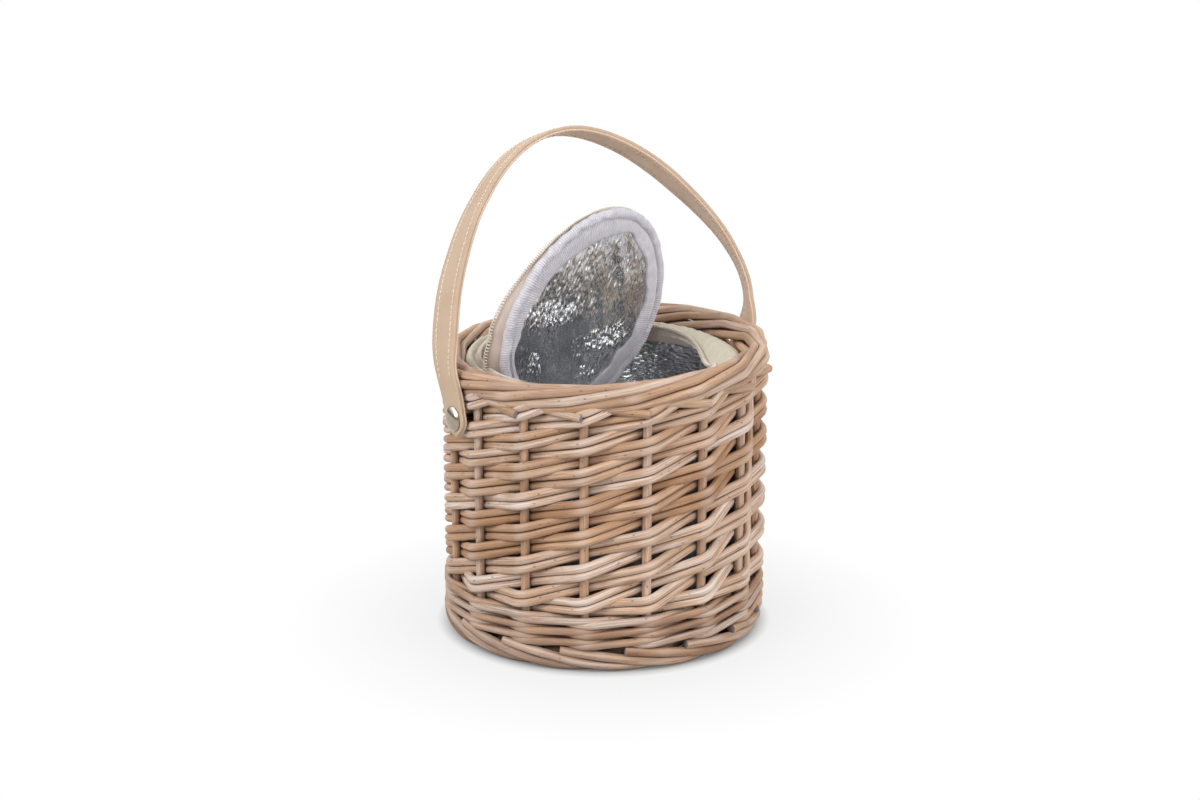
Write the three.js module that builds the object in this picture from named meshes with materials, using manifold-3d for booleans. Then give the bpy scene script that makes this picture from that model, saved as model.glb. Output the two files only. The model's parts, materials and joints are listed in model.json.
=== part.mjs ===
// Round wicker ice bucket: a willow basket with a rolled border and a foot, a strap handle on two rivets,
// and a lift-out insulated bag with a zip-round lid that stands open.
// Millimetres, +Z up, origin on the floor at the basket's axis, rivets on the X axis.
import * as THREE from "three";
import Module from "manifold-3d";

// Driving dimensions: willow rods
const STAKE_COUNT = 16;
const STAKE_DIAMETER = 5;
const STAKE_CIRCLE = 93.5;
const FIRST_STAKE_DEG = 5.75;
const WEAVER_DIAMETER = 4;
const WEAVER_STEPS = 12;
const WEAVER_TAIL = 0.15;
const PAIR_SPLIT = 0.4;
const ROW_GAP = 0.95;
const CROSSING_GAP = 0.4;
const WALE_RODS = 4;
const WALE_DIAMETER = 3.8;
const WALE_GAP = 0.15;
const BORDER_STRANDS = 7;
const BORDER_RUN = 5.5;
const BORDER_GAP = 0.35;
const BORDER_BEND = 3.5;
const ROD_SIDES = 6;

// Driving dimensions: foot and base
const FOOT_CIRCLE = 92.5;
const FOOT_RADIUS = 7;
const FOOT_RIPPLE_DEPTH = 0.6;
const FOOT_LOBES = 4;
const FOOT_FLAT_WIDTH = 7;
const BASE_STICK_HEIGHT = 3;
const BASE_STICK_WIDTH = 9;
const BASE_STICK_ENDS = 8;
const BASE_WEAVE_HEIGHT = 3.5;

// Driving dimensions: strap handle and rivets
const STRAP_WIDTH = 21;
const STRAP_THICKNESS = 1.7;
const LINING_THICKNESS = 1.2;
const STRAP_TIP = 11;
const STRAP_SHOULDER = 4;
const HANDLE_REACH = 108.5;
const HANDLE_HEIGHT = 160.7;
const HANDLE_LEG = 35.7;
const HANDLE_ROUNDNESS = 1.72;
const HANDLE_SWAY = 1.8;
const HANDLE_LEAN_DEG = 16;
const HANDLE_STATIONS = 24;
const RIVET_ROW = 10;
const RIVET_CAP_RADIUS = 7.7;
const RIVET_CAP_HEIGHT = 3.6;
const RIVET_POST_RADIUS = 2.2;
const WASHER_RADIUS = 6;
const WASHER_THICKNESS = 1.5;

// Driving dimensions: liner bag
const LINER_FABRIC = 1;
const LINER_FOAM = 4.2;
const LINER_FOIL = 0.6;
const SHOULDER_WIDTH = 5.5;
const SHOULDER_DROP = 11;
const SHOULDER_BELOW_RIM = 6;
const ZIP_TAPE_WIDTH = 2.1;
const ZIP_TAPE_THICKNESS = 1;
const ZIP_TEETH_WIDTH = 0.9;
const ZIP_TEETH_HEIGHT = 1.6;
const MOUTH_BELOW_SHOULDER = 3.8;

// Driving dimensions: lid
const LID_HINGE_DEG = 105;
const LID_OPEN_DEG = 75;
const LID_PIVOT = 23.4;
const LID_FOAM = 3.9;
const LID_PANEL = 0.8;
const LID_FOIL = 0.6;
const LID_BINDING_WIDTH = 10.7;
const LID_BINDING_THICKNESS = 1.5;
const LID_TAPE_THICKNESS = 1;
const LID_TEETH_HEIGHT = 1.2;
const LID_COLLAR = 1.1;
const HINGE_STRIP_WIDTH = 44;
const HINGE_STRIP_THICKNESS = 1.2;
const HINGE_STRIP_SAG = 9;

// Driving dimensions: zip slider
const SLIDER_FROM_HINGE_DEG = 35;
const SLIDER_LENGTH = 9;
const SLIDER_WIDTH = 5;
const SLIDER_HEIGHT = 2.4;
const BRIDGE_WIDTH = 2.2;
const BRIDGE_LENGTH = 6;
const EYELET = 2.6;
const BRIDGE_WALL = 0.9;
const PULL_LENGTH = 22;
const PULL_WIDTH = 6;
const PULL_THICKNESS = 1.2;
const PULL_BAR = 1.2;

// Clearances
const GAP = 0.3;
const LINER_CLEARANCE = 0.9;
const LID_CLEARANCE = 4.1;
const STRAP_CLEARANCE = 0.6;
const ROUND_SIDES = 32;

// Sizes that follow from the driving dimensions
const DEG = Math.PI / 180;
const stakeStep = (2 * Math.PI) / STAKE_COUNT;
const stakePitch = STAKE_CIRCLE * stakeStep;
const footTop = 2 * FOOT_RADIUS + FOOT_RIPPLE_DEPTH;
const stakeFoot = footTop + CROSSING_GAP;
const baseStickTop = stakeFoot + BASE_STICK_HEIGHT;
const waleBottom = baseStickTop + GAP;
const walePitch = WALE_DIAMETER + WALE_GAP;
const waleTop = waleBottom + WALE_RODS * walePitch;
const pairHeight = 2 * WEAVER_DIAMETER + PAIR_SPLIT;
const rowPitch = pairHeight + ROW_GAP;
const firstRow = waleTop + GAP + pairHeight / 2 + rowPitch / 2;
const weaveTop = firstRow + (WEAVER_STEPS + WEAVER_TAIL) * rowPitch + pairHeight / 2;
const weaverCrossing = STAKE_DIAMETER / 2 + CROSSING_GAP + WEAVER_DIAMETER / 2;
const waleCrossing = STAKE_DIAMETER / 2 + CROSSING_GAP + WALE_DIAMETER / 2;
const borderCore = (STAKE_DIAMETER + BORDER_GAP) / (2 * Math.sin(Math.PI / BORDER_STRANDS));
const borderBottom = weaveTop + CROSSING_GAP;
const borderHeight = borderBottom + borderCore + STAKE_DIAMETER / 2;
const rimTop = borderHeight + borderCore + STAKE_DIAMETER / 2;
const weaveOuter = STAKE_CIRCLE + weaverCrossing + WEAVER_DIAMETER / 2;
const weaveInner = STAKE_CIRCLE - weaverCrossing - WEAVER_DIAMETER / 2;
const borderInner = STAKE_CIRCLE - borderCore - STAKE_DIAMETER / 2;
const waleInner = STAKE_CIRCLE - waleCrossing - WALE_DIAMETER / 2;
const baseWeaveBottom = baseStickTop + GAP;
const baseWeaveTop = baseWeaveBottom + BASE_WEAVE_HEIGHT;
const rivetTurn = (Math.PI - FIRST_STAKE_DEG * DEG) / stakeStep;
const rivetHeight = firstRow + rowPitch * (RIVET_ROW + (rivetTurn % 1));
const washerOuter = weaveInner - GAP;
const washerInner = washerOuter - WASHER_THICKNESS;
const liningInner = weaveOuter + STRAP_CLEARANCE;
const strapInner = liningInner + LINING_THICKNESS + GAP;
const strapOuter = strapInner + STRAP_THICKNESS;
const linerRadius = Math.min(borderInner, washerInner) - LINER_CLEARANCE;
const linerFloor = baseWeaveTop + GAP;
const shoulderTop = rimTop - SHOULDER_BELOW_RIM;
const shoulderFoot = shoulderTop - SHOULDER_DROP;
const foamRadius = linerRadius - LINER_FABRIC - GAP;
const foilRadius = foamRadius - LINER_FOAM - GAP;
const foamFloor = linerFloor + LINER_FABRIC + GAP;
const foilFloor = foamFloor + LINER_FOAM + GAP;
const tapeOuter = linerRadius - SHOULDER_WIDTH - GAP;
const teethOuter = tapeOuter - ZIP_TAPE_WIDTH - GAP;
const mouthRadius = teethOuter - ZIP_TEETH_WIDTH;
const mouthHeight = shoulderTop - MOUTH_BELOW_SHOULDER;
const lidRadius = mouthRadius - LID_CLEARANCE;
const lidPadRadius = lidRadius - GAP - LID_TAPE_THICKNESS - GAP;
const lidPanelBottom = LID_FOAM / 2 + GAP;
const lidFoilTop = -LID_FOAM / 2 - GAP;
const lidBindingTop = lidFoilTop - LID_FOIL - GAP;
const lidTapeTop = lidPanelBottom + LID_PANEL + LID_COLLAR;

const wasm = await Module();
wasm.setup();

// Materials
function material(color, roughness, metalness) {
  return new THREE.MeshStandardMaterial({ color, roughness, metalness });
}
const willow = material("#b8926f", 0.75, 0);
const willowDark = material("#9c7656", 0.8, 0);
const strapLeather = material("#d2b491", 0.6, 0);
const liningLeather = material("#b89a80", 0.7, 0);
const nickel = material("#c9c2b6", 0.3, 1);
const sageFabric = material("#bfbd95", 0.9, 0);
const foam = material("#e9e6df", 0.95, 0);
const foil = material("#c8ccd0", 0.25, 0.9);
const tape = material("#b9a596", 0.9, 0);
const teeth = material("#d8cfc2", 0.5, 0);
const binding = material("#d6d1da", 0.9, 0);

const bucket = new THREE.Group();

function addPiece(parent, name, geometry, finish) {
  const mesh = new THREE.Mesh(geometry, finish);
  mesh.name = name;
  parent.add(mesh);
  return mesh;
}

function numbered(name, index) {
  return `${name}_${String(index + 1).padStart(2, "0")}`;
}

// Geometry from shared points, with its faces turned outwards.
function closedGeometry(positions, triangles) {
  let volume = 0;
  const a = new THREE.Vector3();
  const b = new THREE.Vector3();
  const c = new THREE.Vector3();
  for (let i = 0; i < triangles.length; i += 3) {
    a.fromArray(positions, 3 * triangles[i]);
    b.fromArray(positions, 3 * triangles[i + 1]);
    c.fromArray(positions, 3 * triangles[i + 2]);
    volume += a.dot(b.cross(c));
  }
  const geometry = new THREE.BufferGeometry();
  geometry.setAttribute("position", new THREE.Float32BufferAttribute(positions, 3));
  geometry.setIndex(volume < 0 ? triangles.reverse() : triangles);
  return geometry;
}

// Skins a row of rings with equal point counts: looped, or capped at both ends.
function loft(rings, looped) {
  const size = rings[0].length;
  const points = rings.flat();
  const triangles = [];
  const spans = looped ? rings.length : rings.length - 1;
  for (let i = 0; i < spans; i += 1) {
    const here = i * size;
    const next = ((i + 1) % rings.length) * size;
    for (let j = 0; j < size; j += 1) {
      const k = (j + 1) % size;
      triangles.push(here + j, here + k, next + k, here + j, next + k, next + j);
    }
  }
  if (!looped) {
    for (const [ring, turn] of [[0, 1], [rings.length - 1, 0]]) {
      const centre = points.length;
      const middle = new THREE.Vector3();
      rings[ring].forEach((point) => middle.addScaledVector(point, 1 / size));
      points.push(middle);
      for (let j = 0; j < size; j += 1) {
        const k = (j + 1) % size;
        triangles.push(centre, ring * size + (turn ? k : j), ring * size + (turn ? j : k));
      }
    }
  }
  return closedGeometry(points.flatMap((point) => point.toArray()), triangles);
}

function polar(radius, angle, height) {
  return new THREE.Vector3(radius * Math.cos(angle), radius * Math.sin(angle), height);
}

function circle(radius, height) {
  const points = [];
  for (let i = 0; i < ROUND_SIDES; i += 1) {
    points.push(polar(radius, (2 * Math.PI * i) / ROUND_SIDES, height));
  }
  return points;
}

// Turned shape: a looped profile is a ring, an open one is capped into a disc or a cup.
function turned(profile, looped) {
  return loft(profile.map(([radius, height]) => circle(radius, height)), looped);
}

function ring(inner, outer, bottom, top) {
  return turned([[inner, bottom], [outer, bottom], [outer, top], [inner, top]], true);
}

function disc(radius, bottom, top) {
  return turned([[radius, bottom], [radius, top]], false);
}

// Round rod along a row of points.
function rod(points, diameter) {
  const rings = [];
  let side = new THREE.Vector3(1, 0, 0);
  points.forEach((point, i) => {
    const before = points[Math.max(i - 1, 0)];
    const after = points[Math.min(i + 1, points.length - 1)];
    const along = after.clone().sub(before).normalize();
    side = side.clone().addScaledVector(along, -side.dot(along)).normalize();
    const across = along.clone().cross(side);
    const section = [];
    for (let j = 0; j < ROD_SIDES; j += 1) {
      const turn = (2 * Math.PI * j) / ROD_SIDES;
      const offset = side.clone().multiplyScalar(Math.cos(turn)).addScaledVector(across, Math.sin(turn));
      section.push(point.clone().addScaledVector(offset, diameter / 2));
    }
    rings.push(section);
  });
  return loft(rings, false);
}

// Booleans
function solid(geometry) {
  const vertProperties = new Float32Array(geometry.getAttribute("position").array);
  const triVerts = new Uint32Array(geometry.getIndex().array);
  return new wasm.Manifold(new wasm.Mesh({ numProp: 3, vertProperties, triVerts }));
}

function fromSolid(manifold) {
  const mesh = manifold.getMesh();
  return closedGeometry(Array.from(mesh.vertProperties), Array.from(mesh.triVerts));
}

// Bars along the rivet line, wide enough to clear the rivet posts.
function postBar() {
  const reach = strapOuter + RIVET_CAP_HEIGHT;
  const bar = disc(RIVET_POST_RADIUS + GAP, -reach, reach);
  bar.rotateY(Math.PI / 2);
  bar.translate(0, 0, rivetHeight);
  return solid(bar);
}
const rivetHoles = postBar();

function withRivetHoles(geometry) {
  return fromSolid(solid(geometry).subtract(rivetHoles));
}

function stakeAngle(step) {
  return FIRST_STAKE_DEG * DEG + step * stakeStep;
}

// Stake: an upright that bends to the right at the top and rolls once round the border.
function stake(index) {
  const borderStart = borderHeight - borderCore;
  const longStep = 0.5;
  const shortStep = longStep / 2;
  const points = [polar(STAKE_CIRCLE, stakeAngle(index), stakeFoot)];
  for (const turn of [0, Math.PI / 4, Math.PI / 2]) {
    const along = (BORDER_BEND * (1 - Math.cos(turn))) / stakePitch;
    const height = borderStart - BORDER_BEND * (1 - Math.sin(turn));
    points.push(polar(STAKE_CIRCLE, stakeAngle(index + along), height));
  }
  for (let step = shortStep; step <= BORDER_RUN; step += step < longStep ? shortStep : longStep) {
    const roll = -Math.PI / 2 + (2 * Math.PI * step) / BORDER_STRANDS;
    const radius = STAKE_CIRCLE + borderCore * Math.cos(roll);
    points.push(polar(radius, stakeAngle(index + step), borderHeight + borderCore * Math.sin(roll)));
  }
  return rod(points, STAKE_DIAMETER);
}

// Pair of weaving rods: in front of one stake and behind the next, a row higher at each stake.
const pairSection = [
  [WEAVER_DIAMETER / 2, pairHeight / 4],
  [0, pairHeight / 2],
  [-WEAVER_DIAMETER / 2, pairHeight / 4],
  [-WEAVER_DIAMETER / 4, 0],
  [-WEAVER_DIAMETER / 2, -pairHeight / 4],
  [0, -pairHeight / 2],
  [WEAVER_DIAMETER / 2, -pairHeight / 4],
  [WEAVER_DIAMETER / 4, 0],
];

function weaverPair(index) {
  const halfStep = 0.5;
  const steps = [];
  for (let step = -halfStep; step <= WEAVER_STEPS; step += halfStep) {
    steps.push(step);
  }
  steps.push(WEAVER_STEPS + WEAVER_TAIL);
  const rings = steps.map((step) => {
    const radius = STAKE_CIRCLE + weaverCrossing * Math.cos(Math.PI * step);
    const height = firstRow + rowPitch * step;
    return pairSection.map(([out, up]) => polar(radius + out, stakeAngle(index + step), height + up));
  });
  return withRivetHoles(loft(rings, false));
}

// Wale rod: a ring that passes behind one stake in each set and in front of the rest.
function waleRod(level) {
  const height = waleBottom + walePitch * (level + 0.5);
  const side = (stakeIndex) => ((stakeIndex % STAKE_COUNT) % WALE_RODS === level ? -1 : 1);
  const rings = [];
  for (let half = 0; half < 2 * STAKE_COUNT; half += 1) {
    const reach = (side(Math.floor(half / 2)) + side(Math.ceil(half / 2))) / 2;
    const radius = STAKE_CIRCLE + waleCrossing * reach;
    const section = [];
    for (let j = 0; j < ROD_SIDES; j += 1) {
      const turn = (2 * Math.PI * (j + 0.5)) / ROD_SIDES;
      const out = (WALE_DIAMETER / 2) * Math.cos(turn);
      const up = (WALE_DIAMETER / 2) * Math.sin(turn);
      section.push(polar(radius + out, stakeAngle(half / 2), height + up));
    }
    rings.push(section);
  }
  return loft(rings, true);
}

// Foot border: rods laid round each other, flat where they stand on the floor.
function footBorder() {
  const stationsPerStake = 3;
  const pointCount = 10;
  const lowest = -35 * DEG;
  const sweep = Math.PI - 2 * lowest;
  const rings = [];
  for (let i = 0; i < stationsPerStake * STAKE_COUNT; i += 1) {
    const step = i / stationsPerStake;
    const angle = stakeAngle(step);
    const section = [
      polar(FOOT_CIRCLE - FOOT_FLAT_WIDTH / 2, angle, 0),
      polar(FOOT_CIRCLE + FOOT_FLAT_WIDTH / 2, angle, 0),
    ];
    for (let j = 0; j < pointCount; j += 1) {
      const turn = lowest + (sweep * j) / (pointCount - 1);
      const radius = FOOT_RADIUS + FOOT_RIPPLE_DEPTH * Math.cos(FOOT_LOBES * turn + 2 * Math.PI * step);
      const height = FOOT_RADIUS + radius * Math.sin(turn);
      section.push(polar(FOOT_CIRCLE + radius * Math.cos(turn), angle, height));
    }
    rings.push(section);
  }
  return loft(rings, true);
}

// Base sticks: crossed bars from stake to stake.
function baseSticks() {
  const reach = STAKE_CIRCLE - STAKE_DIAMETER / 2 - CROSSING_GAP;
  const half = BASE_STICK_WIDTH / 2;
  const inner = half / Math.sin(Math.PI / BASE_STICK_ENDS);
  const outer = Math.hypot(reach, half);
  const spread = Math.atan2(half, reach);
  const outline = [];
  for (let i = 0; i < BASE_STICK_ENDS; i += 1) {
    const angle = FIRST_STAKE_DEG * DEG + (2 * Math.PI * i) / BASE_STICK_ENDS;
    outline.push([outer, angle - spread], [outer, angle + spread]);
    outline.push([inner, angle + Math.PI / BASE_STICK_ENDS]);
  }
  const level = (height) => outline.map(([radius, angle]) => polar(radius, angle, height));
  return loft([level(stakeFoot), level(baseStickTop)], false);
}

for (let i = 0; i < STAKE_COUNT; i += 1) {
  addPiece(bucket, numbered("stake", i), stake(i), willow);
}
for (let i = 0; i < STAKE_COUNT; i += 1) {
  addPiece(bucket, numbered("weaver_pair", i), weaverPair(i), willow);
}
for (let level = 0; level < WALE_RODS; level += 1) {
  addPiece(bucket, numbered("wale_rod", level), waleRod(level), willowDark);
}
addPiece(bucket, "foot_border", footBorder(), willowDark);
addPiece(bucket, "base_sticks", baseSticks(), willow);
addPiece(bucket, "base_weave", disc(waleInner - GAP, baseWeaveBottom, baseWeaveTop), willowDark);

// Rivets: a domed cap and its post, and a washer inside the wall.
function rivet() {
  const under = strapOuter + GAP;
  const domeSteps = 4;
  const profile = [
    [RIVET_POST_RADIUS, washerOuter + GAP],
    [RIVET_POST_RADIUS, under],
    [RIVET_CAP_RADIUS, under],
  ];
  for (let i = 1; i < domeSteps; i += 1) {
    const turn = (Math.PI / 2) * (i / domeSteps);
    profile.push([RIVET_CAP_RADIUS * Math.cos(turn), under + RIVET_CAP_HEIGHT * Math.sin(turn)]);
  }
  return turned(profile, false);
}

for (const [name, turn] of [["left", -Math.PI / 2], ["right", Math.PI / 2]]) {
  const washerShape = disc(WASHER_RADIUS, washerInner, washerOuter);
  const cap = addPiece(bucket, `rivet_${name}`, rivet(), nickel);
  const washer = addPiece(bucket, `rivet_washer_${name}`, washerShape, nickel);
  for (const piece of [cap, washer]) {
    piece.rotation.y = turn;
    piece.position.z = rivetHeight;
  }
}

// Handle: one flat strap with a lining, arched over the opening and leaning back from the pivots.
function handleLine() {
  const legPoints = 4;
  const legStart = RIVET_CAP_RADIUS + GAP;
  const legRise = HANDLE_LEG - legStart;
  const arch = HANDLE_HEIGHT - HANDLE_LEG;
  const foot = liningInner;
  const leg = [[foot, -STRAP_TIP], [foot, -STRAP_SHOULDER]];
  for (let i = 0; i <= legPoints; i += 1) {
    const share = i / (legPoints + 1);
    const ease = share * share * (3 - 2 * share);
    leg.push([foot + (HANDLE_REACH - foot) * ease, legStart + legRise * share]);
  }
  const crown = [];
  for (let i = 0; i <= HANDLE_STATIONS; i += 1) {
    const turn = (Math.PI * i) / HANDLE_STATIONS;
    const out = Math.sign(Math.cos(turn)) * Math.abs(Math.cos(turn)) ** (2 / HANDLE_ROUNDNESS);
    const rise = Math.sin(turn) ** (2 / HANDLE_ROUNDNESS);
    crown.push([HANDLE_REACH * out, HANDLE_LEG + arch * rise]);
  }
  const mirrored = leg.map(([out, height]) => [-out, height]).reverse();
  return [...leg, ...crown, ...mirrored].map(([out, height]) => {
    const share = Math.min(Math.max((height - legStart) / legRise, 0), 1);
    return new THREE.Vector2(out + HANDLE_SWAY * share * share, height);
  });
}

function strapLayer(inner, outer) {
  const line = handleLine();
  const rings = line.map((point, i) => {
    const before = line[Math.max(i - 1, 0)];
    const after = line[Math.min(i + 1, line.length - 1)];
    const along = after.clone().sub(before).normalize();
    const normal = new THREE.Vector2(along.y, -along.x);
    const half = i === 0 || i === line.length - 1 ? STRAP_THICKNESS / 2 : STRAP_WIDTH / 2;
    const corner = (offset, side) => {
      const spot = point.clone().addScaledVector(normal, offset);
      return new THREE.Vector3(spot.x, side * half, spot.y);
    };
    return [corner(inner, -1), corner(inner, 1), corner(outer, 1), corner(outer, -1)];
  });
  const layer = loft(rings, false);
  layer.translate(0, 0, rivetHeight);
  const holed = withRivetHoles(layer);
  holed.translate(0, 0, -rivetHeight);
  return holed;
}

const handle = new THREE.Group();
handle.position.z = rivetHeight;
handle.rotation.x = -HANDLE_LEAN_DEG * DEG;
bucket.add(handle);
addPiece(handle, "handle_lining", strapLayer(0, LINING_THICKNESS), liningLeather);
const strapLift = strapInner - liningInner;
addPiece(handle, "handle_strap", strapLayer(strapLift, strapLift + STRAP_THICKNESS), strapLeather);

// Liner bag: fabric, foam and foil cups inside each other, then a shoulder and one half of the zip.
function cup(radius, wall, floor, top) {
  return turned([[radius, floor], [radius, top], [radius - wall, top], [radius - wall, floor + wall]], false);
}

function shoulder() {
  const outline = [
    [linerRadius, shoulderFoot],
    [linerRadius - LINER_FABRIC / 2, shoulderFoot + SHOULDER_DROP / 2],
    [linerRadius - SHOULDER_WIDTH / 2, shoulderTop],
    [linerRadius - SHOULDER_WIDTH, shoulderTop - LINER_FABRIC],
  ];
  const inside = outline.map(([radius, height], i) => {
    const drop = i < 2 ? 0 : LINER_FABRIC;
    return [radius - (i < 3 ? LINER_FABRIC : 0), height - drop];
  });
  return turned([...outline, ...inside.reverse()], true);
}

const cupTop = shoulderFoot - GAP;
const tapeTop = shoulderTop - LINER_FABRIC;
const tapeRing = ring(tapeOuter - ZIP_TAPE_WIDTH, tapeOuter, tapeTop - ZIP_TAPE_THICKNESS, tapeTop);
const teethTop = tapeTop + ZIP_TEETH_HEIGHT / 2;
const teethRing = ring(mouthRadius, teethOuter, teethTop - ZIP_TEETH_HEIGHT, teethTop);
addPiece(bucket, "liner_outer_fabric", cup(linerRadius, LINER_FABRIC, linerFloor, cupTop), sageFabric);
addPiece(bucket, "liner_foam", cup(foamRadius, LINER_FOAM, foamFloor, cupTop), foam);
addPiece(bucket, "liner_foil", cup(foilRadius, LINER_FOIL, foilFloor, cupTop), foil);
addPiece(bucket, "liner_shoulder", shoulder(), sageFabric);
addPiece(bucket, "liner_zip_tape", tapeRing, tape);
addPiece(bucket, "liner_zip_teeth", teethRing, teeth);

// Zip slider with a bridge that carries its pull.
function extruded(points, holes, depth) {
  const shape = new THREE.Shape(points.map(([x, y]) => new THREE.Vector2(x, y)));
  for (const hole of holes) {
    shape.holes.push(new THREE.Path(hole.map(([x, y]) => new THREE.Vector2(x, y))));
  }
  const geometry = new THREE.ExtrudeGeometry(shape, { depth, bevelEnabled: false });
  geometry.translate(0, 0, -depth / 2);
  return weld(geometry);
}

function weld(geometry) {
  const source = geometry.getAttribute("position");
  const seen = new Map();
  const positions = [];
  const triangles = [];
  for (let i = 0; i < source.count; i += 1) {
    const spot = [source.getX(i), source.getY(i), source.getZ(i)];
    const key = spot.map((value) => value.toFixed(4)).join(" ");
    if (!seen.has(key)) {
      seen.set(key, positions.length / 3);
      positions.push(...spot);
    }
    triangles.push(seen.get(key));
  }
  return closedGeometry(positions, triangles);
}

function rectangle(width, bottom, top) {
  return [[-width / 2, bottom], [width / 2, bottom], [width / 2, top], [-width / 2, top]];
}

const eyeletHeight = SLIDER_HEIGHT + EYELET / 2;

function sliderBody() {
  const chamfer = SLIDER_HEIGHT / 3;
  const half = SLIDER_LENGTH / 2;
  const side = [
    [-half, 0], [half, 0], [half, SLIDER_HEIGHT - chamfer], [half - chamfer, SLIDER_HEIGHT],
    [chamfer - half, SLIDER_HEIGHT], [-half, SLIDER_HEIGHT - chamfer],
  ];
  const bridgeTop = SLIDER_HEIGHT + EYELET + BRIDGE_WALL;
  const bridge = rectangle(BRIDGE_LENGTH, SLIDER_HEIGHT / 2, bridgeTop);
  const eyelet = rectangle(BRIDGE_LENGTH - 2 * BRIDGE_WALL, SLIDER_HEIGHT, SLIDER_HEIGHT + EYELET);
  const plate = solid(extruded(side, [], SLIDER_WIDTH));
  const geometry = fromSolid(plate.add(solid(extruded(bridge, [eyelet], BRIDGE_WIDTH))));
  geometry.rotateX(Math.PI / 2);
  return geometry;
}

function pullTab() {
  const slot = BRIDGE_LENGTH / 2 + BRIDGE_WALL;
  const half = PULL_WIDTH / 2;
  const outline = [
    [-PULL_BAR / 2, -half], [PULL_LENGTH - half, -half], [PULL_LENGTH, 0], [PULL_LENGTH - half, half],
    [-PULL_BAR / 2, half],
  ];
  const slotHalf = BRIDGE_WIDTH / 2 + GAP;
  const opening = [
    [PULL_BAR / 2, -slotHalf], [PULL_BAR / 2 + slot, -slotHalf], [PULL_BAR / 2 + slot, slotHalf],
    [PULL_BAR / 2, slotHalf],
  ];
  return extruded(outline, [opening], PULL_THICKNESS);
}

const sliderGroup = new THREE.Group();
const sliderAngle = (LID_HINGE_DEG - SLIDER_FROM_HINGE_DEG) * DEG;
const sliderRadius = mouthRadius + SLIDER_WIDTH / 2;
sliderGroup.position.copy(polar(sliderRadius, sliderAngle, teethTop + GAP));
sliderGroup.rotation.z = sliderAngle - Math.PI / 2;
bucket.add(sliderGroup);
addPiece(sliderGroup, "zip_slider", sliderBody(), nickel);
addPiece(sliderGroup, "zip_pull", pullTab(), nickel).position.z = eyeletHeight;

// Lid: turned about a chord of itself, so its back edge dips into the bag as its front rises.
const lidHinge = new THREE.Group();
lidHinge.position.copy(polar(LID_PIVOT, LID_HINGE_DEG * DEG, mouthHeight));
lidHinge.rotation.z = LID_HINGE_DEG * DEG;
bucket.add(lidHinge);
const lid = new THREE.Group();
lid.rotation.y = LID_OPEN_DEG * DEG;
lidHinge.add(lid);
const lidCentre = new THREE.Group();
lidCentre.position.x = -LID_PIVOT;
lid.add(lidCentre);
const lidTapeOuter = lidRadius - GAP;
const lidTapeInner = lidTapeOuter - LID_TAPE_THICKNESS;
const lidBindingInner = lidTapeOuter - LID_BINDING_WIDTH;
const lidBindingBottom = lidBindingTop - LID_BINDING_THICKNESS;
const lidTeethBottom = lidTapeTop + GAP;
const lidPanel = disc(lidPadRadius, lidPanelBottom, lidPanelBottom + LID_PANEL);
const lidBinding = ring(lidBindingInner, lidTapeOuter, lidBindingBottom, lidBindingTop);
const lidTeeth = ring(lidTapeInner, lidRadius, lidTeethBottom, lidTeethBottom + LID_TEETH_HEIGHT);
addPiece(lidCentre, "lid_outer_panel", lidPanel, sageFabric);
addPiece(lidCentre, "lid_foam_pad", disc(lidPadRadius, -LID_FOAM / 2, LID_FOAM / 2), foam);
addPiece(lidCentre, "lid_foil_face", disc(lidPadRadius, lidFoilTop - LID_FOIL, lidFoilTop), foil);
addPiece(lidCentre, "lid_binding", lidBinding, binding);
addPiece(lidCentre, "lid_zip_tape", ring(lidTapeInner, lidTapeOuter, lidBindingTop + GAP, lidTapeTop), tape);
addPiece(lidCentre, "lid_zip_teeth", lidTeeth, teeth);

// Hinge strip: fabric from the bag's rim down to the lid's back edge.
function hingeStrip() {
  const stations = 8;
  const half = HINGE_STRIP_THICKNESS / 2;
  const open = LID_OPEN_DEG * DEG;
  const rimReach = Math.sqrt(mouthRadius ** 2 - (HINGE_STRIP_WIDTH / 2) ** 2);
  const lidReach = lidRadius - LID_PIVOT + GAP + half;
  const start = new THREE.Vector2(rimReach - LID_PIVOT - GAP - half, ZIP_TEETH_HEIGHT);
  const rear = new THREE.Vector2(Math.cos(open), -Math.sin(open));
  const outward = new THREE.Vector2(Math.sin(open), Math.cos(open));
  const end = rear.clone().multiplyScalar(lidReach).addScaledVector(outward, LID_FOAM / 2);
  const low = new THREE.Vector2((start.x + end.x) / 2, end.y - HINGE_STRIP_SAG);
  const wall = new THREE.Vector2(start.x, (start.y + end.y) / 2);
  const line = new THREE.CubicBezierCurve(start, wall, low, end).getPoints(stations);
  const rings = line.map((point, i) => {
    const before = line[Math.max(i - 1, 0)];
    const after = line[Math.min(i + 1, line.length - 1)];
    const along = after.clone().sub(before).normalize();
    const corner = (offset, side) => new THREE.Vector3(
      point.x - along.y * offset, (side * HINGE_STRIP_WIDTH) / 2, point.y + along.x * offset,
    );
    return [corner(-half, -1), corner(-half, 1), corner(half, 1), corner(half, -1)];
  });
  return loft(rings, false);
}
addPiece(lidHinge, "lid_hinge_strip", hingeStrip(), sageFabric);

export default bucket;
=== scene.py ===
"""Looks of the wicker ice bucket: willow rods, a strap handle, an insulated bag and its open lid.

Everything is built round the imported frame. Sizes are in millimetres until a mesh is made.
"""
import json
import random
from math import atan2, copysign, cos, exp, pi, radians, remainder, sin, sqrt, tau

import bpy
import numpy as np
from mathutils import Matrix, Vector, noise


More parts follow.
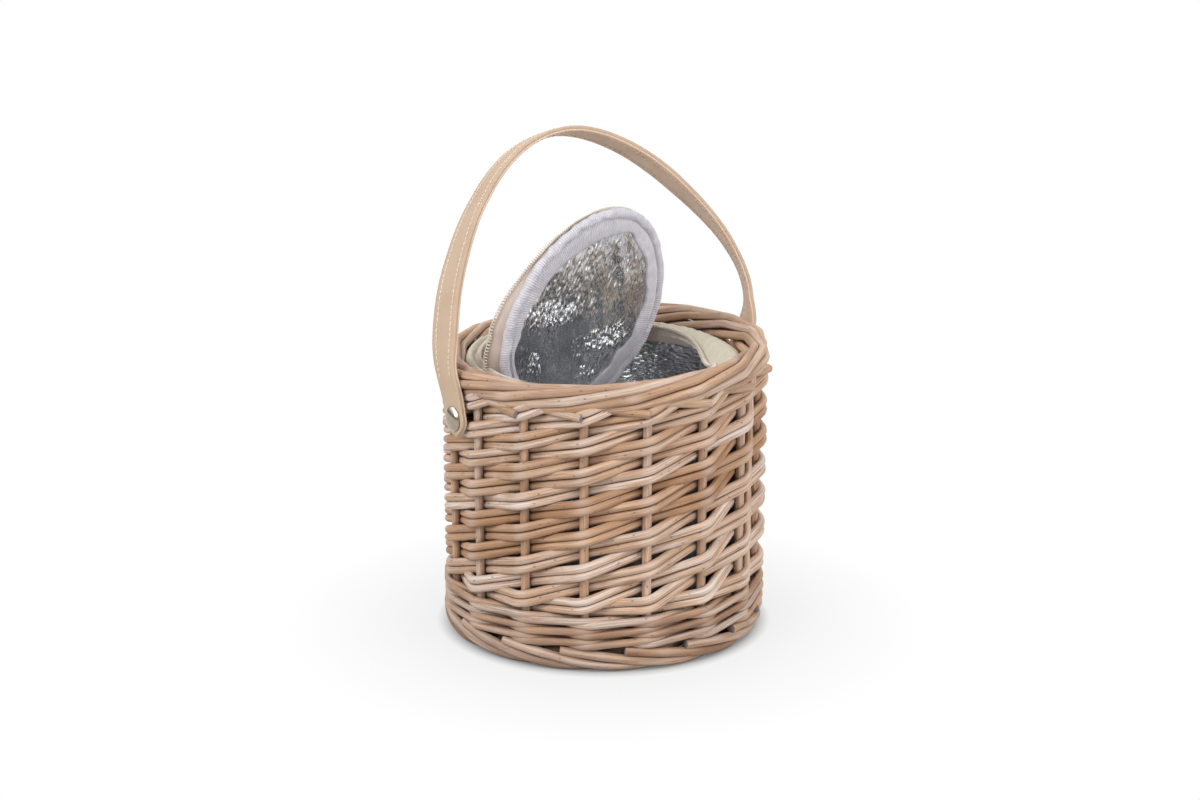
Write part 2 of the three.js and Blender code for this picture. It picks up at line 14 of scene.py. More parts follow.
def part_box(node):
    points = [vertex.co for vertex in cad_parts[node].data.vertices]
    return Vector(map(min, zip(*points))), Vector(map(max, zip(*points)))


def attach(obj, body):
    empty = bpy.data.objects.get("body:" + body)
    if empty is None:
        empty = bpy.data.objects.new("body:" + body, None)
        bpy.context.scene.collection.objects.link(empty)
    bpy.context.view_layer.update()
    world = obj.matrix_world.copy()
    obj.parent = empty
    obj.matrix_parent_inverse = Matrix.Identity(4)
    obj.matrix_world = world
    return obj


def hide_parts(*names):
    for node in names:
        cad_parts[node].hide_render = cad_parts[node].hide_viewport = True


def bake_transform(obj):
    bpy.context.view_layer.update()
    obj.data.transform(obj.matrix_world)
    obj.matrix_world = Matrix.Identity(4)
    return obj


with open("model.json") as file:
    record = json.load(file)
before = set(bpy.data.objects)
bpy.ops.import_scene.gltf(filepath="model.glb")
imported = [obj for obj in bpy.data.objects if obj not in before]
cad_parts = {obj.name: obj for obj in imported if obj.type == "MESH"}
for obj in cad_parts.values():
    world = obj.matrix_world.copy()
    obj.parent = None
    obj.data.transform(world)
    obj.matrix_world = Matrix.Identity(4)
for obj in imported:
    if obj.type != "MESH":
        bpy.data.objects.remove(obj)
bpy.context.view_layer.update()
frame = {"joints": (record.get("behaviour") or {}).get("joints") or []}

MM = 0.001
SEED = 11

# Willow rods
STAKE_COUNT = 16
STAKE_CIRCLE = 93.5
STAKE_DIAMETER = 5.4
STAKE_STEP = tau / STAKE_COUNT
FIRST_STAKE_DEG = 5.75
STAKE_FOOT_INSET = 3.0
STAKE_FOOT_DROP = 6.0
STAKE_FOOT_RISE = 4.0
STAKE_TAIL = ((6.05, 88.6, -5.5), (6.45, 93.5, -7.0), (6.72, 98.0, -7.8), (6.98, 100.6, -9.2))
TAIL_CLEARANCE = 27.0
ROD_SIDES = 10
ROD_SPACING = 4.0
ROD_SWELL_LENGTH = 22.0
GRAIN_SHIFT = 400
BEND_STEPS = 5
WEAVER_DIAMETER = 5.2
WEAVER_CROSSING = 4.8
WEAVER_STEPS = 12
WEAVER_START = -1.3
WEAVER_END = 12.5
WEAVER_START_SLOPE = 0.45
ROW_BOW = 3.0
RIM_ROWS = 5
PAIR_LIFT = 2.6
PAIR_HEIGHT = 8.4
START_DROP = 1.6
START_ROWS = 3
END_RISE = 7.5
KINK = 4.0
WEAVER_KINK = 6.0
KINK_CUT = 0.8
WALE_NODES = 4
WALE_DIAMETER = 4.5
WALE_CROSSING = 4.8
WALE_FRONT = 0.7
WALE_ROUNDS = 3
WALE_DROP = 3.4
WALE_KINK = 7.0
BORDER_STRANDS = 7
BORDER_STEPS = (0.75, 1.75, 2.75, 3.75, 4.75)
BORDER_CORE = 5.6
BORDER_RISE = 6.8
RIM_TILT = (0.055, 0.009)
FOOT_ROD_DIAMETER = 5.9
FOOT_ROD_CIRCLE = 95.6
FOOT_KINK = 9.0
FOOT_PLAN = (
    (-0.36, 1.6, 13.2), (0.25, 2.4, 10.8), (0.9, 1.6, 6.6), (1.4, 0.2, 3.9), (1.85, -1.6, 3.2),
    (2.4, -5.5, 3.2), (2.9, -8.5, 5.0), (3.5, -9.0, 9.0), (4.0, -8.5, 12.5),
)
BASE_BARS = 4
BASE_STICK_DIAMETER = 4.0
BASE_STICK_OFFSET = 2.1
BASE_RINGS = 22
BASE_FIRST_RING = 7
BASE_RING_WAVES = 8
BASE_RING_SWAY = 0.55
BASE_ROD_DIAMETER = 3.4
# Reach of the pale mark at a rod's outward bends: partly wear, partly painted highlight.
WEAR_AND_HIGHLIGHT_REACH = 4.5

# Strap handle
STRAP_WIDTH = 21.0
STRAP_THICKNESS = 1.9
STRAP_EDGE = 0.35
STRAP_POINTS = 3.0
STRAP_TIP = 11.0
STRAP_TIP_SHARE = 0.72
LINING_THICKNESS = 1.3
LINING_INNER = 101.0
HANDLE_REACH = 108.5
HANDLE_HEIGHT = 160.7
HANDLE_LEG = 35.7
HANDLE_ROUNDNESS = 1.72
HANDLE_LEFT_ROUNDNESS = 1.93
HANDLE_LEFT_INSET = 3.0
HANDLE_SWAY = 5.2
HANDLE_RIGHT_SWAY = 8.6
HANDLE_LEFT_SHIFT = (
    (8, 0.0), (50, 0.8), (70, 2.4), (95, 5.0), (127, 5.0), (144, 2.4), (152, 0.0), (160.7, -3.0),
)
HANDLE_RIGHT_SHIFT = (
    (8, 0.0), (37, 1.5), (50, 2.9), (68, 3.8), (88, 2.9), (103, 0.7), (118, -1.5), (160.7, -3.0),
)
HANDLE_LEAN_DEG = 16.0
LEFT_TWIST_DEG = 12.0
RIGHT_TWIST_DEG = 26.0
TWIST_START = 24.0
TWIST_RISE = 24.0
TWIST_TOP = 22.0
TWIST_FALL = 85.0
RIVET_CAP_RADIUS = 7.7
RIVET_CAP_HEIGHT = 3.6
RIVET_DOME = 2.7
RIVET_POST_RADIUS = 2.2
STITCH_PITCH = 3.2
STITCH_LENGTH = 2.0
STITCH_DIAMETER = 0.8
STITCH_INSET = 4.2
STITCH_START = 34.0
STITCH_BOW = 0.25
SEAM_THREAD = 0.6

# Bag and lid
BAG_RADIUS = 83.9
BAG_FOIL_RADIUS = 77.5
BAG_FOIL_DROP = 10.0
BAG_FOIL_CRUSH = 0.32
BAG_FLOOR_ROWS = 36
SHOULDER_WIDTH = 5.5
SHOULDER_PUFF = 4.2
SHOULDER_GATHERS = 64
MOUTH_RADIUS = 74.8
MOUTH_PINCH = 10.0
MOUTH_FOLD = 11.0
MOUTH_PINCH_DEG = -24.0
MOUTH_PINCH_REACH_DEG = 28.0
COIL_PITCH = 1.85
COIL_POINTS = 8
COIL_RADIUS = 1.1
COIL_WIRE = 0.8
LID_HINGE_DEG = 105.0
LID_OPEN_DEG = 75.0
LID_PIVOT = 23.4
LID_RADIUS = 70.7
LID_RIM = LID_RADIUS - 0.3
LID_FACE = -3.0
LID_DISH = 1.4
LID_FOLD = 2.2
LID_BINDING_WIDTH = 14.5
LID_BINDING_ROLL = 3.0
LID_BINDING_FLAT = (
    (0.0, 0.6), (0.02, -0.7), (0.12, -1.2), (0.3, -1.3), (0.5, -1.3), (0.7, -1.2), (0.85, -0.9),
)
LID_RIBS = 260
LID_CRUSH_SPOTS = ((-8, 34, 8, 18), (18, -24, 7, 24), (27, 44, 10, 10), (40, -12, 8, 10))
LID_SPOT_BULGE = 3.6
LID_SPOT_DROP = 6.0
LID_COVER_REACH = LID_RADIUS - 1.7
LID_COVER_SEAM = LID_COVER_REACH - 5.0
COLLAR_TOP = 5.6
COLLAR_WAVE = 0.6
HINGE_STRIP_WIDTH = 44.0
HINGE_STRIP_THICKNESS = 1.2
HINGE_STRIP_SAG = 9.0
HINGE_STRIP_SLACK = 0.8

# Zip slider and pull
SLIDER_LENGTH = 9.0
SLIDER_WIDTH = 5.0
SLIDER_HEIGHT = 2.4
BRIDGE_LENGTH = 6.0
BRIDGE_WIDTH = 2.2
BRIDGE_WALL = 0.9
BRIDGE_ROOT = 1.6
BRIDGE_HALF_SECTION = ((-1, -0.6), (-1, 0.6), (-0.85, 1), (0.85, 1))
PULL_LENGTH = 22.0
PULL_WIDTH = 6.0
PULL_THICKNESS = 1.2
PULL_LOOP = 6.5
PULL_LEAF_START = 5.0

# Camera at the photograph's viewing angle
IMAGE_WIDTH = 1200
CAMERA_AZIMUTH_DEG = -32.4
CAMERA_ELEVATION_DEG = 17.15
CAMERA_DISTANCE = 1.300
CAMERA_AIM = (0, 0, 0.090)
CAMERA_SENSOR = 36.0
CAMERA_LENS = 62.85
AIM_SHIFT_X = -3.4 / IMAGE_WIDTH
AIM_SHIFT_Y = 78.2 / IMAGE_WIDTH

# Floor and lamps; each lamp has its azimuth, elevation, distance, size and power
FLOOR_HALF = 4.0
WHITE = (1, 1, 1, 1)
LAMPS = {
    "key": (-78, 34, 1.5, 0.8, 11.5),
    "fill": (24, 20, 1.6, 0.9, 11.5),
    "top": (140, 60, 1.5, 0.9, 1.5),
}

chance = random.Random(SEED)


# Sizes read from the frame
def box_mm(node):
    low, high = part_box(node)
    return np.array(low) / MM, np.array(high) / MM


stake_foot = box_mm("stake_01")[0][2]
rim_top = box_mm("stake_01")[1][2]
wale_bottom = box_mm("wale_rod_01")[0][2]
wale_top = box_mm(f"wale_rod_{WALE_NODES:02d}")[1][2]
tape_top = box_mm("liner_zip_tape")[1][2]
pair_low, pair_high = box_mm("weaver_pair_01")
row_pitch = (pair_high[2] - pair_low[2] - PAIR_HEIGHT) / (WEAVER_STEPS + 0.65)
first_row = pair_low[2] + (PAIR_HEIGHT + row_pitch) / 2
border_height = rim_top - BORDER_RISE - STAKE_DIAMETER / 2
joints = {joint["name"]: joint for joint in frame["joints"]}
handle_pivot = np.array(joints["handle_swing"]["pos_m"]) / MM
lid_pivot = np.array(joints["lid_hinge"]["pos_m"]) / MM


# Numbers and angles
def clamp(value, low=0.0, high=1.0):
    return min(max(value, low), high)


def eased(share):
    """A share between 0 and 1 that starts and ends gently."""
    share = clamp(share)
    return share * share * (3 - 2 * share)


def lobe(turn, degrees, power=1):
    """A soft peak at one angle, 0 from a quarter turn away."""
    return max(0.0, cos(turn - radians(degrees))) ** power


def wave_noise(x, y=0.0, z=0.0):
    return noise.noise(Vector((x, y, z)))


def ring_noise(turn, scale, layer=0.0):
    """Noise round a ring, without a seam."""
    return wave_noise(scale * cos(turn), scale * sin(turn), layer)


def polar(radius, angle, height):
    return np.array([radius * cos(angle), radius * sin(angle), height])


def stake_angle(step):
    return radians(FIRST_STAKE_DEG) + step * STAKE_STEP


# Paths and meshes
def unit(vectors):
    return vectors / np.linalg.norm(vectors, axis=-1, keepdims=True)


def tangents_of(path):
    return unit(np.gradient(path, axis=0))


def lengths_along(path):
    return np.concatenate([[0], np.cumsum(np.linalg.norm(np.diff(path, axis=0), axis=1))])


def moved(points, matrix):
    matrix = np.array(matrix, float)
    return points @ matrix[:3, :3].T + matrix[:3, 3]


def straight(start, end, spacing):
    count = max(1, round(np.linalg.norm(end - start) / spacing))
    share = np.linspace(0, 1, count + 1)[1:, None]
    return start + (end - start) * share


def bent_path(corners, bend, spacing=ROD_SPACING):
    """Straight runs between corners, with each corner rounded over the length of the bend."""
    corners = np.asarray(corners, float)
    runs = [corners[:1]]
    last = corners[0]
    share = np.linspace(0, 1, BEND_STEPS + 1)[1:, None]
    for before, corner, after in zip(corners[:-2], corners[1:-1], corners[2:]):
        reach_in = min(bend, 0.48 * np.linalg.norm(before - corner))
        reach_out = min(bend, 0.48 * np.linalg.norm(after - corner))
        start = corner + unit(before - corner) * reach_in
        end = corner + unit(after - corner) * reach_out
        runs.append(straight(last, start, spacing))
        runs.append((1 - share) ** 2 * start + 2 * share * (1 - share) * corner + share**2 * end)
        last = end
    runs.append(straight(last, corners[-1], spacing))
    return np.vstack(runs)


def frames_along(path):
    """Unit tangent, side and up vectors at each point of a path, without twist."""
    tangents = tangents_of(path)
    side = np.array([0, 0, 1.0]) if abs(tangents[0][2]) < 0.9 else np.array([1.0, 0, 0])
    sides = []
    for tangent in tangents:
        side = unit(side - tangent * side.dot(tangent))
        sides.append(side)
    sides = np.array(sides)
    return tangents, sides, np.cross(tangents, sides)


def ring_grid(profile, sides, ripple=lambda turn, row: (0.0, 0.0)):
    """Rows of a turned sheet, moved by ripple(angle, row), with cloth coordinates along the sheet."""
    turns = np.arange(sides) * tau / sides
    rows = []
    for i, (radius, height) in enumerate(profile):
        moves = [ripple(turn, i) for turn in turns]
        rows.append([polar(radius + out, turn, height + up) for turn, (out, up) in zip(turns, moves)])
    grain = [[(turn * BAG_RADIUS, length, 0) for turn in turns] for length in lengths_along(profile)]
    return np.array(rows), np.array(grain)


def grid_faces(rows, columns):
    faces = []
    for i in range(rows - 1):
        for j in range(columns):
            k = (j + 1) % columns
            faces.append((i * columns + j, i * columns + k, (i + 1) * columns + k, (i + 1) * columns + j))
    return faces


def add_object(name, data):
    made = bpy.data.objects.new(name, data)
    bpy.context.scene.collection.objects.link(made)
    return made


class Bundle:
    """Collects rods and sheets in millimetres and makes one object of them."""

    def __init__(self):
        self.points = []
        self.faces = []
        self.grain = []
        self.shades = {"tint": [], "wear": [], "cut": []}

    def add(self, points, faces, grain=None, tint=0.5, wear=0.0, cut=0.0):
        start = len(self.points)
        self.points.extend(map(tuple, points))
        self.faces.extend(tuple(start + i for i in face) for face in faces)
        self.grain.extend(map(tuple, points if grain is None else grain))
        for label, shade in (("tint", tint), ("wear", wear), ("cut", cut)):
            self.shades[label].extend(np.broadcast_to(shade, len(points)))

    def grid(self, points, grain=None, **shades):
        """A sheet of rows that each close on themselves."""
        grain = points if grain is None else grain
        self.add(points.reshape(-1, 3), grid_faces(*points.shape[:2]), grain.reshape(-1, 3), **shades)

    def skin(self, rings, grain=None):
        """A closed skin through rings of points."""
        start = len(self.points)
        count = rings.shape[1]
        last = start + count * (len(rings) - 1)
        self.grid(rings, grain)
        self.faces.append(tuple(range(start + count - 1, start - 1, -1)))
        self.faces.append(tuple(range(last, last + count)))

    def build(self, name, material):
        mesh = bpy.data.meshes.new(name)
        mesh.from_pydata([tuple(c * MM for c in point) for point in self.points], [], self.faces)
        for label, shade in self.shades.items():
            layer = mesh.attributes.new(label, "FLOAT", "POINT")
            layer.data.foreach_set("value", np.array(shade, np.float32))
        layer = mesh.attributes.new("grain", "FLOAT_VECTOR", "POINT")
        layer.data.foreach_set("vector", (np.array(self.grain, np.float32) * MM).ravel())
        mesh.polygons.foreach_set("use_smooth", [True] * len(mesh.polygons))
        mesh.materials.append(material)
        mesh.validate()
        return add_object(name, mesh)

    def dress(self, name, material, body, slot, *nodes):
        """Makes the piece, puts it on its body and hides the nodes that it stands for. The slot is not
        used.
        """
        piece = self.build(name, material)
        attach(piece, body)
        if nodes:
            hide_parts(*nodes)
        return piece


def make_sheet(rows, grain, name, material, body, slot, *nodes, **shades):
    bundle = Bundle()
    bundle.grid(rows, grain, **shades)
    return bundle.dress(name, material, body, slot, *nodes)


def add_rod(bundle, path, diameter, tint=0.5, worn_and_lit_spots=(), taper=1.0, sides=ROD_SIDES, wobble=0.05):
    """A rod along a path, with bevelled cut ends, paler near the given spots: partly wear, partly a painted
    highlight at the rod's outward bends.
    """
    path = np.asarray(path, float)
    along = lengths_along(path)
    tangents, across, up = frames_along(path)
    offset = GRAIN_SHIFT * chance.random()
    swell = np.array([wave_noise((offset + s) / ROD_SWELL_LENGTH, 5.5) for s in along])
    radii = diameter / 2 * (1 + (taper - 1) * along / along[-1]) * (1 + wobble * swell)
    wear = np.zeros(len(path))
    for spot in worn_and_lit_spots:
        wear = np.maximum(wear, np.exp(-((np.linalg.norm(path - spot, axis=1) / WEAR_AND_HIGHLIGHT_REACH) ** 2)))
    turns = np.arange(sides) * tau / sides
    spokes = across[:, None] * np.cos(turns)[None, :, None] + up[:, None] * np.sin(turns)[None, :, None]
    rings = path[:, None] + radii[:, None, None] * spokes
    circle = np.stack([np.zeros(sides), np.cos(turns), np.sin(turns)], axis=1) * diameter / 2
    grain = circle[None] + np.array([1.0, 0, 0]) * (along + offset)[:, None, None]
    bundle.grid(rings, grain, tint=tint, wear=np.repeat(wear, sides))
    for end, way in ((0, -1), (-1, 1)):
        rim = path[end] + tangents[end] * way * 0.25 + radii[end] * 0.9 * spokes[end]
        cap = np.vstack([rings[end], rim, path[end] + tangents[end] * way * 0.3])
        faces = []
        for j in range(sides):
            k = (j + 1) % sides
            bevel = (j, k, sides + k, sides + j)
            tip = (sides + j, sides + k, 2 * sides)
            faces.extend([bevel[::way], tip[::way]])
        bundle.add(cap, faces, tint=tint, cut=[0.0] * sides + [1.0] * (sides + 1))


def add_thread(bundle, path, diameter):
    add_rod(bundle, path, diameter, sides=6, wobble=0)


def numbered(name, index):
    return f"{name}_{index + 1:02d}"


# Shader helpers
def plug(tree, made, inputs):
    """Sets a node's inputs to values, or links them to sockets."""
    for key, value in inputs.items():
        if isinstance(value, bpy.types.NodeSocket):
            tree.links.new(value, made.inputs[key])
        else:
            made.inputs[key].default_value = value


def node(tree, kind, inputs=None, **settings):
    made = tree.nodes.new(f"ShaderNode{kind}")
    for key, value in settings.items():
        setattr(made, key, value)
    plug(tree, made, inputs or {})
    return made


def attribute(tree, name, output="Fac"):
    return node(tree, "Attribute", attribute_name=name).outputs[output]


def stretched(tree, vector, scale):
    return node(tree, "Mapping", {"Vector": vector, "Scale": scale}).outputs["Vector"]


def noise_value(tree, vector, scale, detail=3.0, roughness=0.55):
    inputs = {"Vector": vector, "Scale": scale, "Detail": detail, "Roughness": roughness}
    return node(tree, "TexNoise", inputs).outputs["Fac"]


def cells(tree, vector, scale, feature="F1"):
    inputs = {"Vector": vector, "Scale": scale}
    return node(tree, "TexVoronoi", inputs, feature=feature).outputs["Distance"]


def spread(tree, value, low, high, to_low=0.0, to_high=1.0):
    inputs = {"Value": value, "From Min": low, "From Max": high, "To Min": to_low, "To Max": to_high}
    return node(tree, "MapRange", inputs).outputs["Result"]


def times(tree, first, second, operation="MULTIPLY"):
    return node(tree, "Math", {0: first, 1: second}, operation=operation).outputs[0]


def mixed(tree, share, first, second):
    return node(tree, "Mix", {0: share, 6: first, 7: second}, data_type="RGBA").outputs[2]


def layered(tree, body, *layers):
    """A colour with others laid over it, each by its share."""
    for share, colour in layers:
        body = mixed(tree, share, body, colour)
    return body


def bump(tree, height, strength, distance, normal=None):
    inputs = {"Height": height, "Strength": strength, "Distance": distance}
    if normal is not None:
        inputs["Normal"] = normal
    return node(tree, "Bump", inputs).outputs["Normal"]


def new_material(name):
    made = bpy.data.materials.new(name)
    made.use_nodes = True
    return made, made.node_tree, made.node_tree.nodes["Principled BSDF"]


def grained_material(name):
    """A new material, with the coordinates that run along the piece."""
    made, tree, shader = new_material(name)
    return made, tree, shader, attribute(tree, "grain", "Vector")


def feed(tree, shader, **sockets):
    plug(tree, shader, {label.replace("_", " "): value for label, value in sockets.items()})


def rgb(*channels):
    """A colour written as it looks on screen, turned to linear light."""
    return (*(((c / 255 + 0.055) / 1.055) ** 2.4 for c in channels), 1.0)


# Materials
def willow_material(name, dark, mid, pale, crevice_shade):
    made, tree, shader, grain = grained_material(name)
    tint = attribute(tree, "tint")
    blotch = noise_value(tree, stretched(tree, grain, (16, 110, 110)), 1.0)
    wash = noise_value(tree, stretched(tree, grain, (30, 560, 560)), 1.0, 4.0, 0.6)
    streak = noise_value(tree, stretched(tree, grain, (36, 1150, 1150)), 1.0)
    speck = cells(tree, stretched(tree, grain, (150, 260, 260)), 1.0)
    crevice = node(tree, "AmbientOcclusion", {"Distance": 0.005}, samples=8).outputs["AO"]
    body = layered(
        tree,
        dark,
        (tint, mid),
        (spread(tree, blotch, 0.40, 0.66), rgb(206, 168, 135)),
        (times(tree, spread(tree, wash, 0.4, 0.56), spread(tree, tint, 0.25, 1.0)), pale),
        (spread(tree, streak, 0.44, 0.66, 0.0, 0.62), rgb(138, 103, 78)),
        # Paler at the rods' outward bends: partly wear, partly a painted highlight.
        (times(tree, attribute(tree, "wear"), 0.26), pale),
        (spread(tree, speck, 0.07, 0.16, 0.7, 0.0), rgb(92, 62, 46)),
        (attribute(tree, "cut"), rgb(128, 117, 116)),
        # Painted shade: darker towards deep brown in the crevices between the rods, by ambient occlusion.
        (spread(tree, crevice, 0.1, 0.6, crevice_shade, 0.0), rgb(82, 61, 49)),
    )
    ridges = bump(tree, streak, 0.4, 0.0005)
    uneven = bump(tree, blotch, 0.35, 0.0012, ridges)
    rough = spread(tree, wash, 0.3, 0.7, 0.48, 0.7)
    feed(tree, shader, Base_Color=body, Roughness=rough, Normal=uneven, Specular_IOR_Level=0.4)
    return made


def leather_material(name, colour, shade):
    made, tree, shader, grain = grained_material(name)
    cloud = noise_value(tree, grain, 60.0, 4.0)
    body = mixed(tree, spread(tree, cloud, 0.3, 0.75, 0.0, 0.45), colour, shade)
    pores = cells(tree, grain, 1500.0)
    body = mixed(tree, spread(tree, pores, 0.0, 0.4, 0.08, 0.0), body, shade)
    pebbles = bump(tree, pores, 0.02, 0.0002)
    creases = bump(tree, noise_value(tree, grain, 220.0, 2.0), 0.06, 0.0004, pebbles)
    rough = spread(tree, cloud, 0.3, 0.7, 0.5, 0.65)
    feed(tree, shader, Base_Color=body, Roughness=rough, Normal=creases, Specular_IOR_Level=0.3)
    return made


def cloth_material(name, colour, shade, pitch):
    """Plain weave: two sets of threads that pass over each other."""
    made, tree, shader, grain = grained_material(name)
    parts = node(tree, "SeparateXYZ", {0: grain})
    warp, weft = (times(tree, times(tree, parts.outputs[i], pi / pitch), 0.0, "SINE") for i in range(2))
    crossing = times(tree, warp, weft)
    cloud = noise_value(tree, grain, 130.0, 4.0)
    body = layered(
        tree,
        colour,
        (spread(tree, cloud, 0.3, 0.7, 0.0, 0.5), shade),
        (spread(tree, crossing, -0.9, 0.1, 0.45, 0.0), shade),
        # Painted shade: darker where the ribbed binding's valleys lie, by the per-point attribute.
        (spread(tree, attribute(tree, "tint"), 0.0, 0.5, 0.75, 0.0), shade),
    )
    woven = bump(tree, crossing, 0.4, 0.0003)
    feed(tree, shader, Base_Color=body, Roughness=0.85, Normal=woven, Sheen_Weight=0.15)
    return made


def foil_material(name, dark, pale):
    made, tree, shader, grain = grained_material(name)
    creases = cells(tree, stretched(tree, grain, (230, 720, 720)), 1.0, "SMOOTH_F1")
    fine = noise_value(tree, stretched(tree, grain, (300, 1100, 1100)), 1.0, 4.0)
    cloud = noise_value(tree, grain, 34.0)
    # On the film this attribute holds only how crushed it is, for the bumps.
    crushed = attribute(tree, "wear")
    large = bump(tree, creases, 1.0, spread(tree, crushed, 0.0, 1.0, 0.0003, 0.0023))
    crinkled = bump(tree, fine, 0.8, spread(tree, crushed, 0.0, 1.0, 0.0003, 0.0009), large)
    body = mixed(tree, spread(tree, cloud, 0.35, 0.7), dark, pale)
    rough = spread(tree, fine, 0.3, 0.7, 0.06, 0.2)
    feed(tree, shader, Base_Color=body, Metallic=0.93, Roughness=rough, Normal=crinkled)
    return made


def metal_material(name, colour, shade):
    made, tree, shader, grain = grained_material(name)
    smear = noise_value(tree, grain, 240.0, 4.0)
    body = mixed(tree, spread(tree, smear, 0.3, 0.8, 0.0, 0.35), colour, shade)
    rubbed = bump(tree, noise_value(tree, grain, 1300.0, 2.0), 0.06, 0.0002)
    rough = spread(tree, smear, 0.3, 0.7, 0.06, 0.16)
    feed(tree, shader, Base_Color=body, Metallic=1.0, Roughness=rough, Normal=rubbed)
    return made


def plastic_material(name, colour, shade):
    made, tree, shader, grain = grained_material(name)
    cloud = noise_value(tree, grain, 300.0)
    body = mixed(tree, spread(tree, cloud, 0.3, 0.7, 0.0, 0.6), colour, shade)
    worn_and_lit_spots = bump(tree, cloud, 0.1, 0.0002)
    feed(tree, shader, Base_Color=body, Roughness=spread(tree, cloud, 0.3, 0.7, 0.35, 0.5), Normal=worn_and_lit_spots)
    return made


# The last number of each willow is how strongly shade is painted into the crevices between its rods.
willow = willow_material("willow", rgb(164, 121, 86), rgb(206, 169, 137), rgb(226, 210, 199), 0.66)
# The stakes and border take a darker, greyer copy of the willow: partly a greyer tone, partly painted shade
# that takes back the light falling on the rim from above.
willow_border = willow_material(
    "willow_border", rgb(152, 115, 88), rgb(190, 157, 131), rgb(218, 202, 190), 0.62
)
# The wale, foot and base take a darker willow with the strongest painted crevice shade.
willow_deep = willow_material("willow_deep", rgb(134, 99, 76), rgb(172, 140, 117), rgb(206, 189, 176), 0.85)
strap_leather = leather_material("strap_leather", rgb(200, 174, 149), rgb(184, 156, 130))
lining_leather = leather_material("lining_leather", rgb(222, 195, 172), rgb(201, 171, 148))
thread = plastic_material("cream_thread", rgb(236, 222, 200), rgb(214, 196, 170))
lining_thread = plastic_material("tan_thread", rgb(206, 182, 160), rgb(190, 164, 142))
# The nickel is darker than bright metal: painted shade that stands in for dark surroundings in its
# reflections.
nickel = metal_material("warm_nickel", rgb(172, 160, 145), rgb(128, 116, 103))
sage = cloth_material("sage_fabric", rgb(226, 218, 196), rgb(196, 187, 163), 0.0008)
slate = cloth_material("slate_fabric", rgb(112, 116, 118), rgb(86, 90, 93), 0.0008)
tape_cloth = cloth_material("zip_tape", rgb(210, 192, 181), rgb(186, 168, 156), 0.0006)
binding_cloth = cloth_material("ribbed_binding", rgb(238, 235, 240), rgb(176, 171, 180), 0.0007)
coil_plastic = plastic_material("coil_cream", rgb(226, 217, 203), rgb(200, 188, 172))
# Both films are greyer than bright foil: painted shade that stands in for dark surroundings in their
# reflections, and the bag's film, inside the bag, is darker still.
lid_film = foil_material("lid_film", rgb(184, 186, 189), rgb(222, 222, 224))
bag_film = foil_material("bag_film", rgb(164, 166, 169), rgb(208, 209, 211))


# Wall: pairs of rods, in front of one stake and behind the next, a row higher at each stake
def weaver_corner(index, step, lift):
    front = cos(pi * max(step, -1.0))
    radius = STAKE_CIRCLE + WEAVER_CROSSING * front + (KINK_CUT if front > 0.5 else 0)
    radius += chance.uniform(-0.15, 0.3)
    row = min(max(step, WEAVER_START_SLOPE * step), WEAVER_STEPS)
    height = first_row + row_pitch * row + lift + chance.uniform(-0.3, 0.3)
    angle = stake_angle(index + step)
    over = max(0.0, rim_level(angle) - border_height)
    height += over * max(0.0, 1 - (WEAVER_STEPS - step) / RIM_ROWS)
    height += (END_RISE + 0.5 * over) * max(0.0, step - WEAVER_STEPS) / (WEAVER_END - WEAVER_STEPS)
    height -= START_DROP * clamp(1 - step / START_ROWS, 0.0, 1.2)
    height += ROW_BOW * sin(pi * clamp(step / WEAVER_STEPS))
    return polar(radius, angle, height)


def make_weavers():
    steps = [WEAVER_START, *range(-1, WEAVER_STEPS + 1), WEAVER_END]
    for index in range(STAKE_COUNT):
        bundle = Bundle()
        tint = chance.random()
        for lift in (-PAIR_LIFT, PAIR_LIFT):
            corners = [weaver_corner(index, step, lift) for step in steps]
            rod_tint = clamp(tint + chance.uniform(-0.3, 0.3))
            diameter = WEAVER_DIAMETER * chance.uniform(0.95, 1.04)
            add_rod(bundle, bent_path(corners, WEAVER_KINK), diameter, rod_tint, corners[2:-1:2], 0.95)
        node_name = numbered("weaver_pair", index)
        bundle.dress(numbered("willow_weavers", index), willow, "basket", "willow", node_name)


# Stakes: each bends over at the top, rolls round the border and comes out again under it
def border_corner(index, step):
    roll = -pi / 2 + tau * step / BORDER_STRANDS
    angle = stake_angle(index + step)
    radius = STAKE_CIRCLE + KINK_CUT + BORDER_CORE * cos(roll) + chance.uniform(-0.5, 0.5)
    return polar(radius, angle, rim_level(angle) + BORDER_RISE * sin(roll) + chance.uniform(-0.5, 0.5))


def rim_level(angle):
    """Height of the border's core: the woven rim is a little higher on one side."""
    spot = polar(STAKE_CIRCLE, angle, 0)
    return border_height + RIM_TILT[0] * spot[0] + RIM_TILT[1] * spot[1]


def make_stakes():
    for index in range(STAKE_COUNT):
        bundle = Bundle()
        angle = stake_angle(index)
        corners = [
            polar(STAKE_CIRCLE - STAKE_FOOT_INSET, angle, stake_foot - STAKE_FOOT_DROP),
            polar(STAKE_CIRCLE, angle, stake_foot + STAKE_FOOT_RISE),
            polar(STAKE_CIRCLE, angle, rim_level(angle) - BORDER_RISE),
        ]
        corners.extend(border_corner(index, step) for step in BORDER_STEPS)
        aside = abs(sin(stake_angle(index + STAKE_TAIL[-1][0]))) * STAKE_CIRCLE
        under_strap = aside < STRAP_WIDTH / 2 + TAIL_CLEARANCE
        for step, radius, drop in STAKE_TAIL[:2] if under_strap else STAKE_TAIL:
            angle = stake_angle(index + step)
            corners.append(polar(radius, angle, rim_level(angle) + drop))
        tint = chance.uniform(0.1, 0.8)
        add_rod(bundle, bent_path(corners, KINK), STAKE_DIAMETER, tint, corners[4:-2:2], 0.97)
        node_name = numbered("stake", index)
        bundle.dress(numbered("willow_stake", index), willow_border, "basket", "willow", node_name)


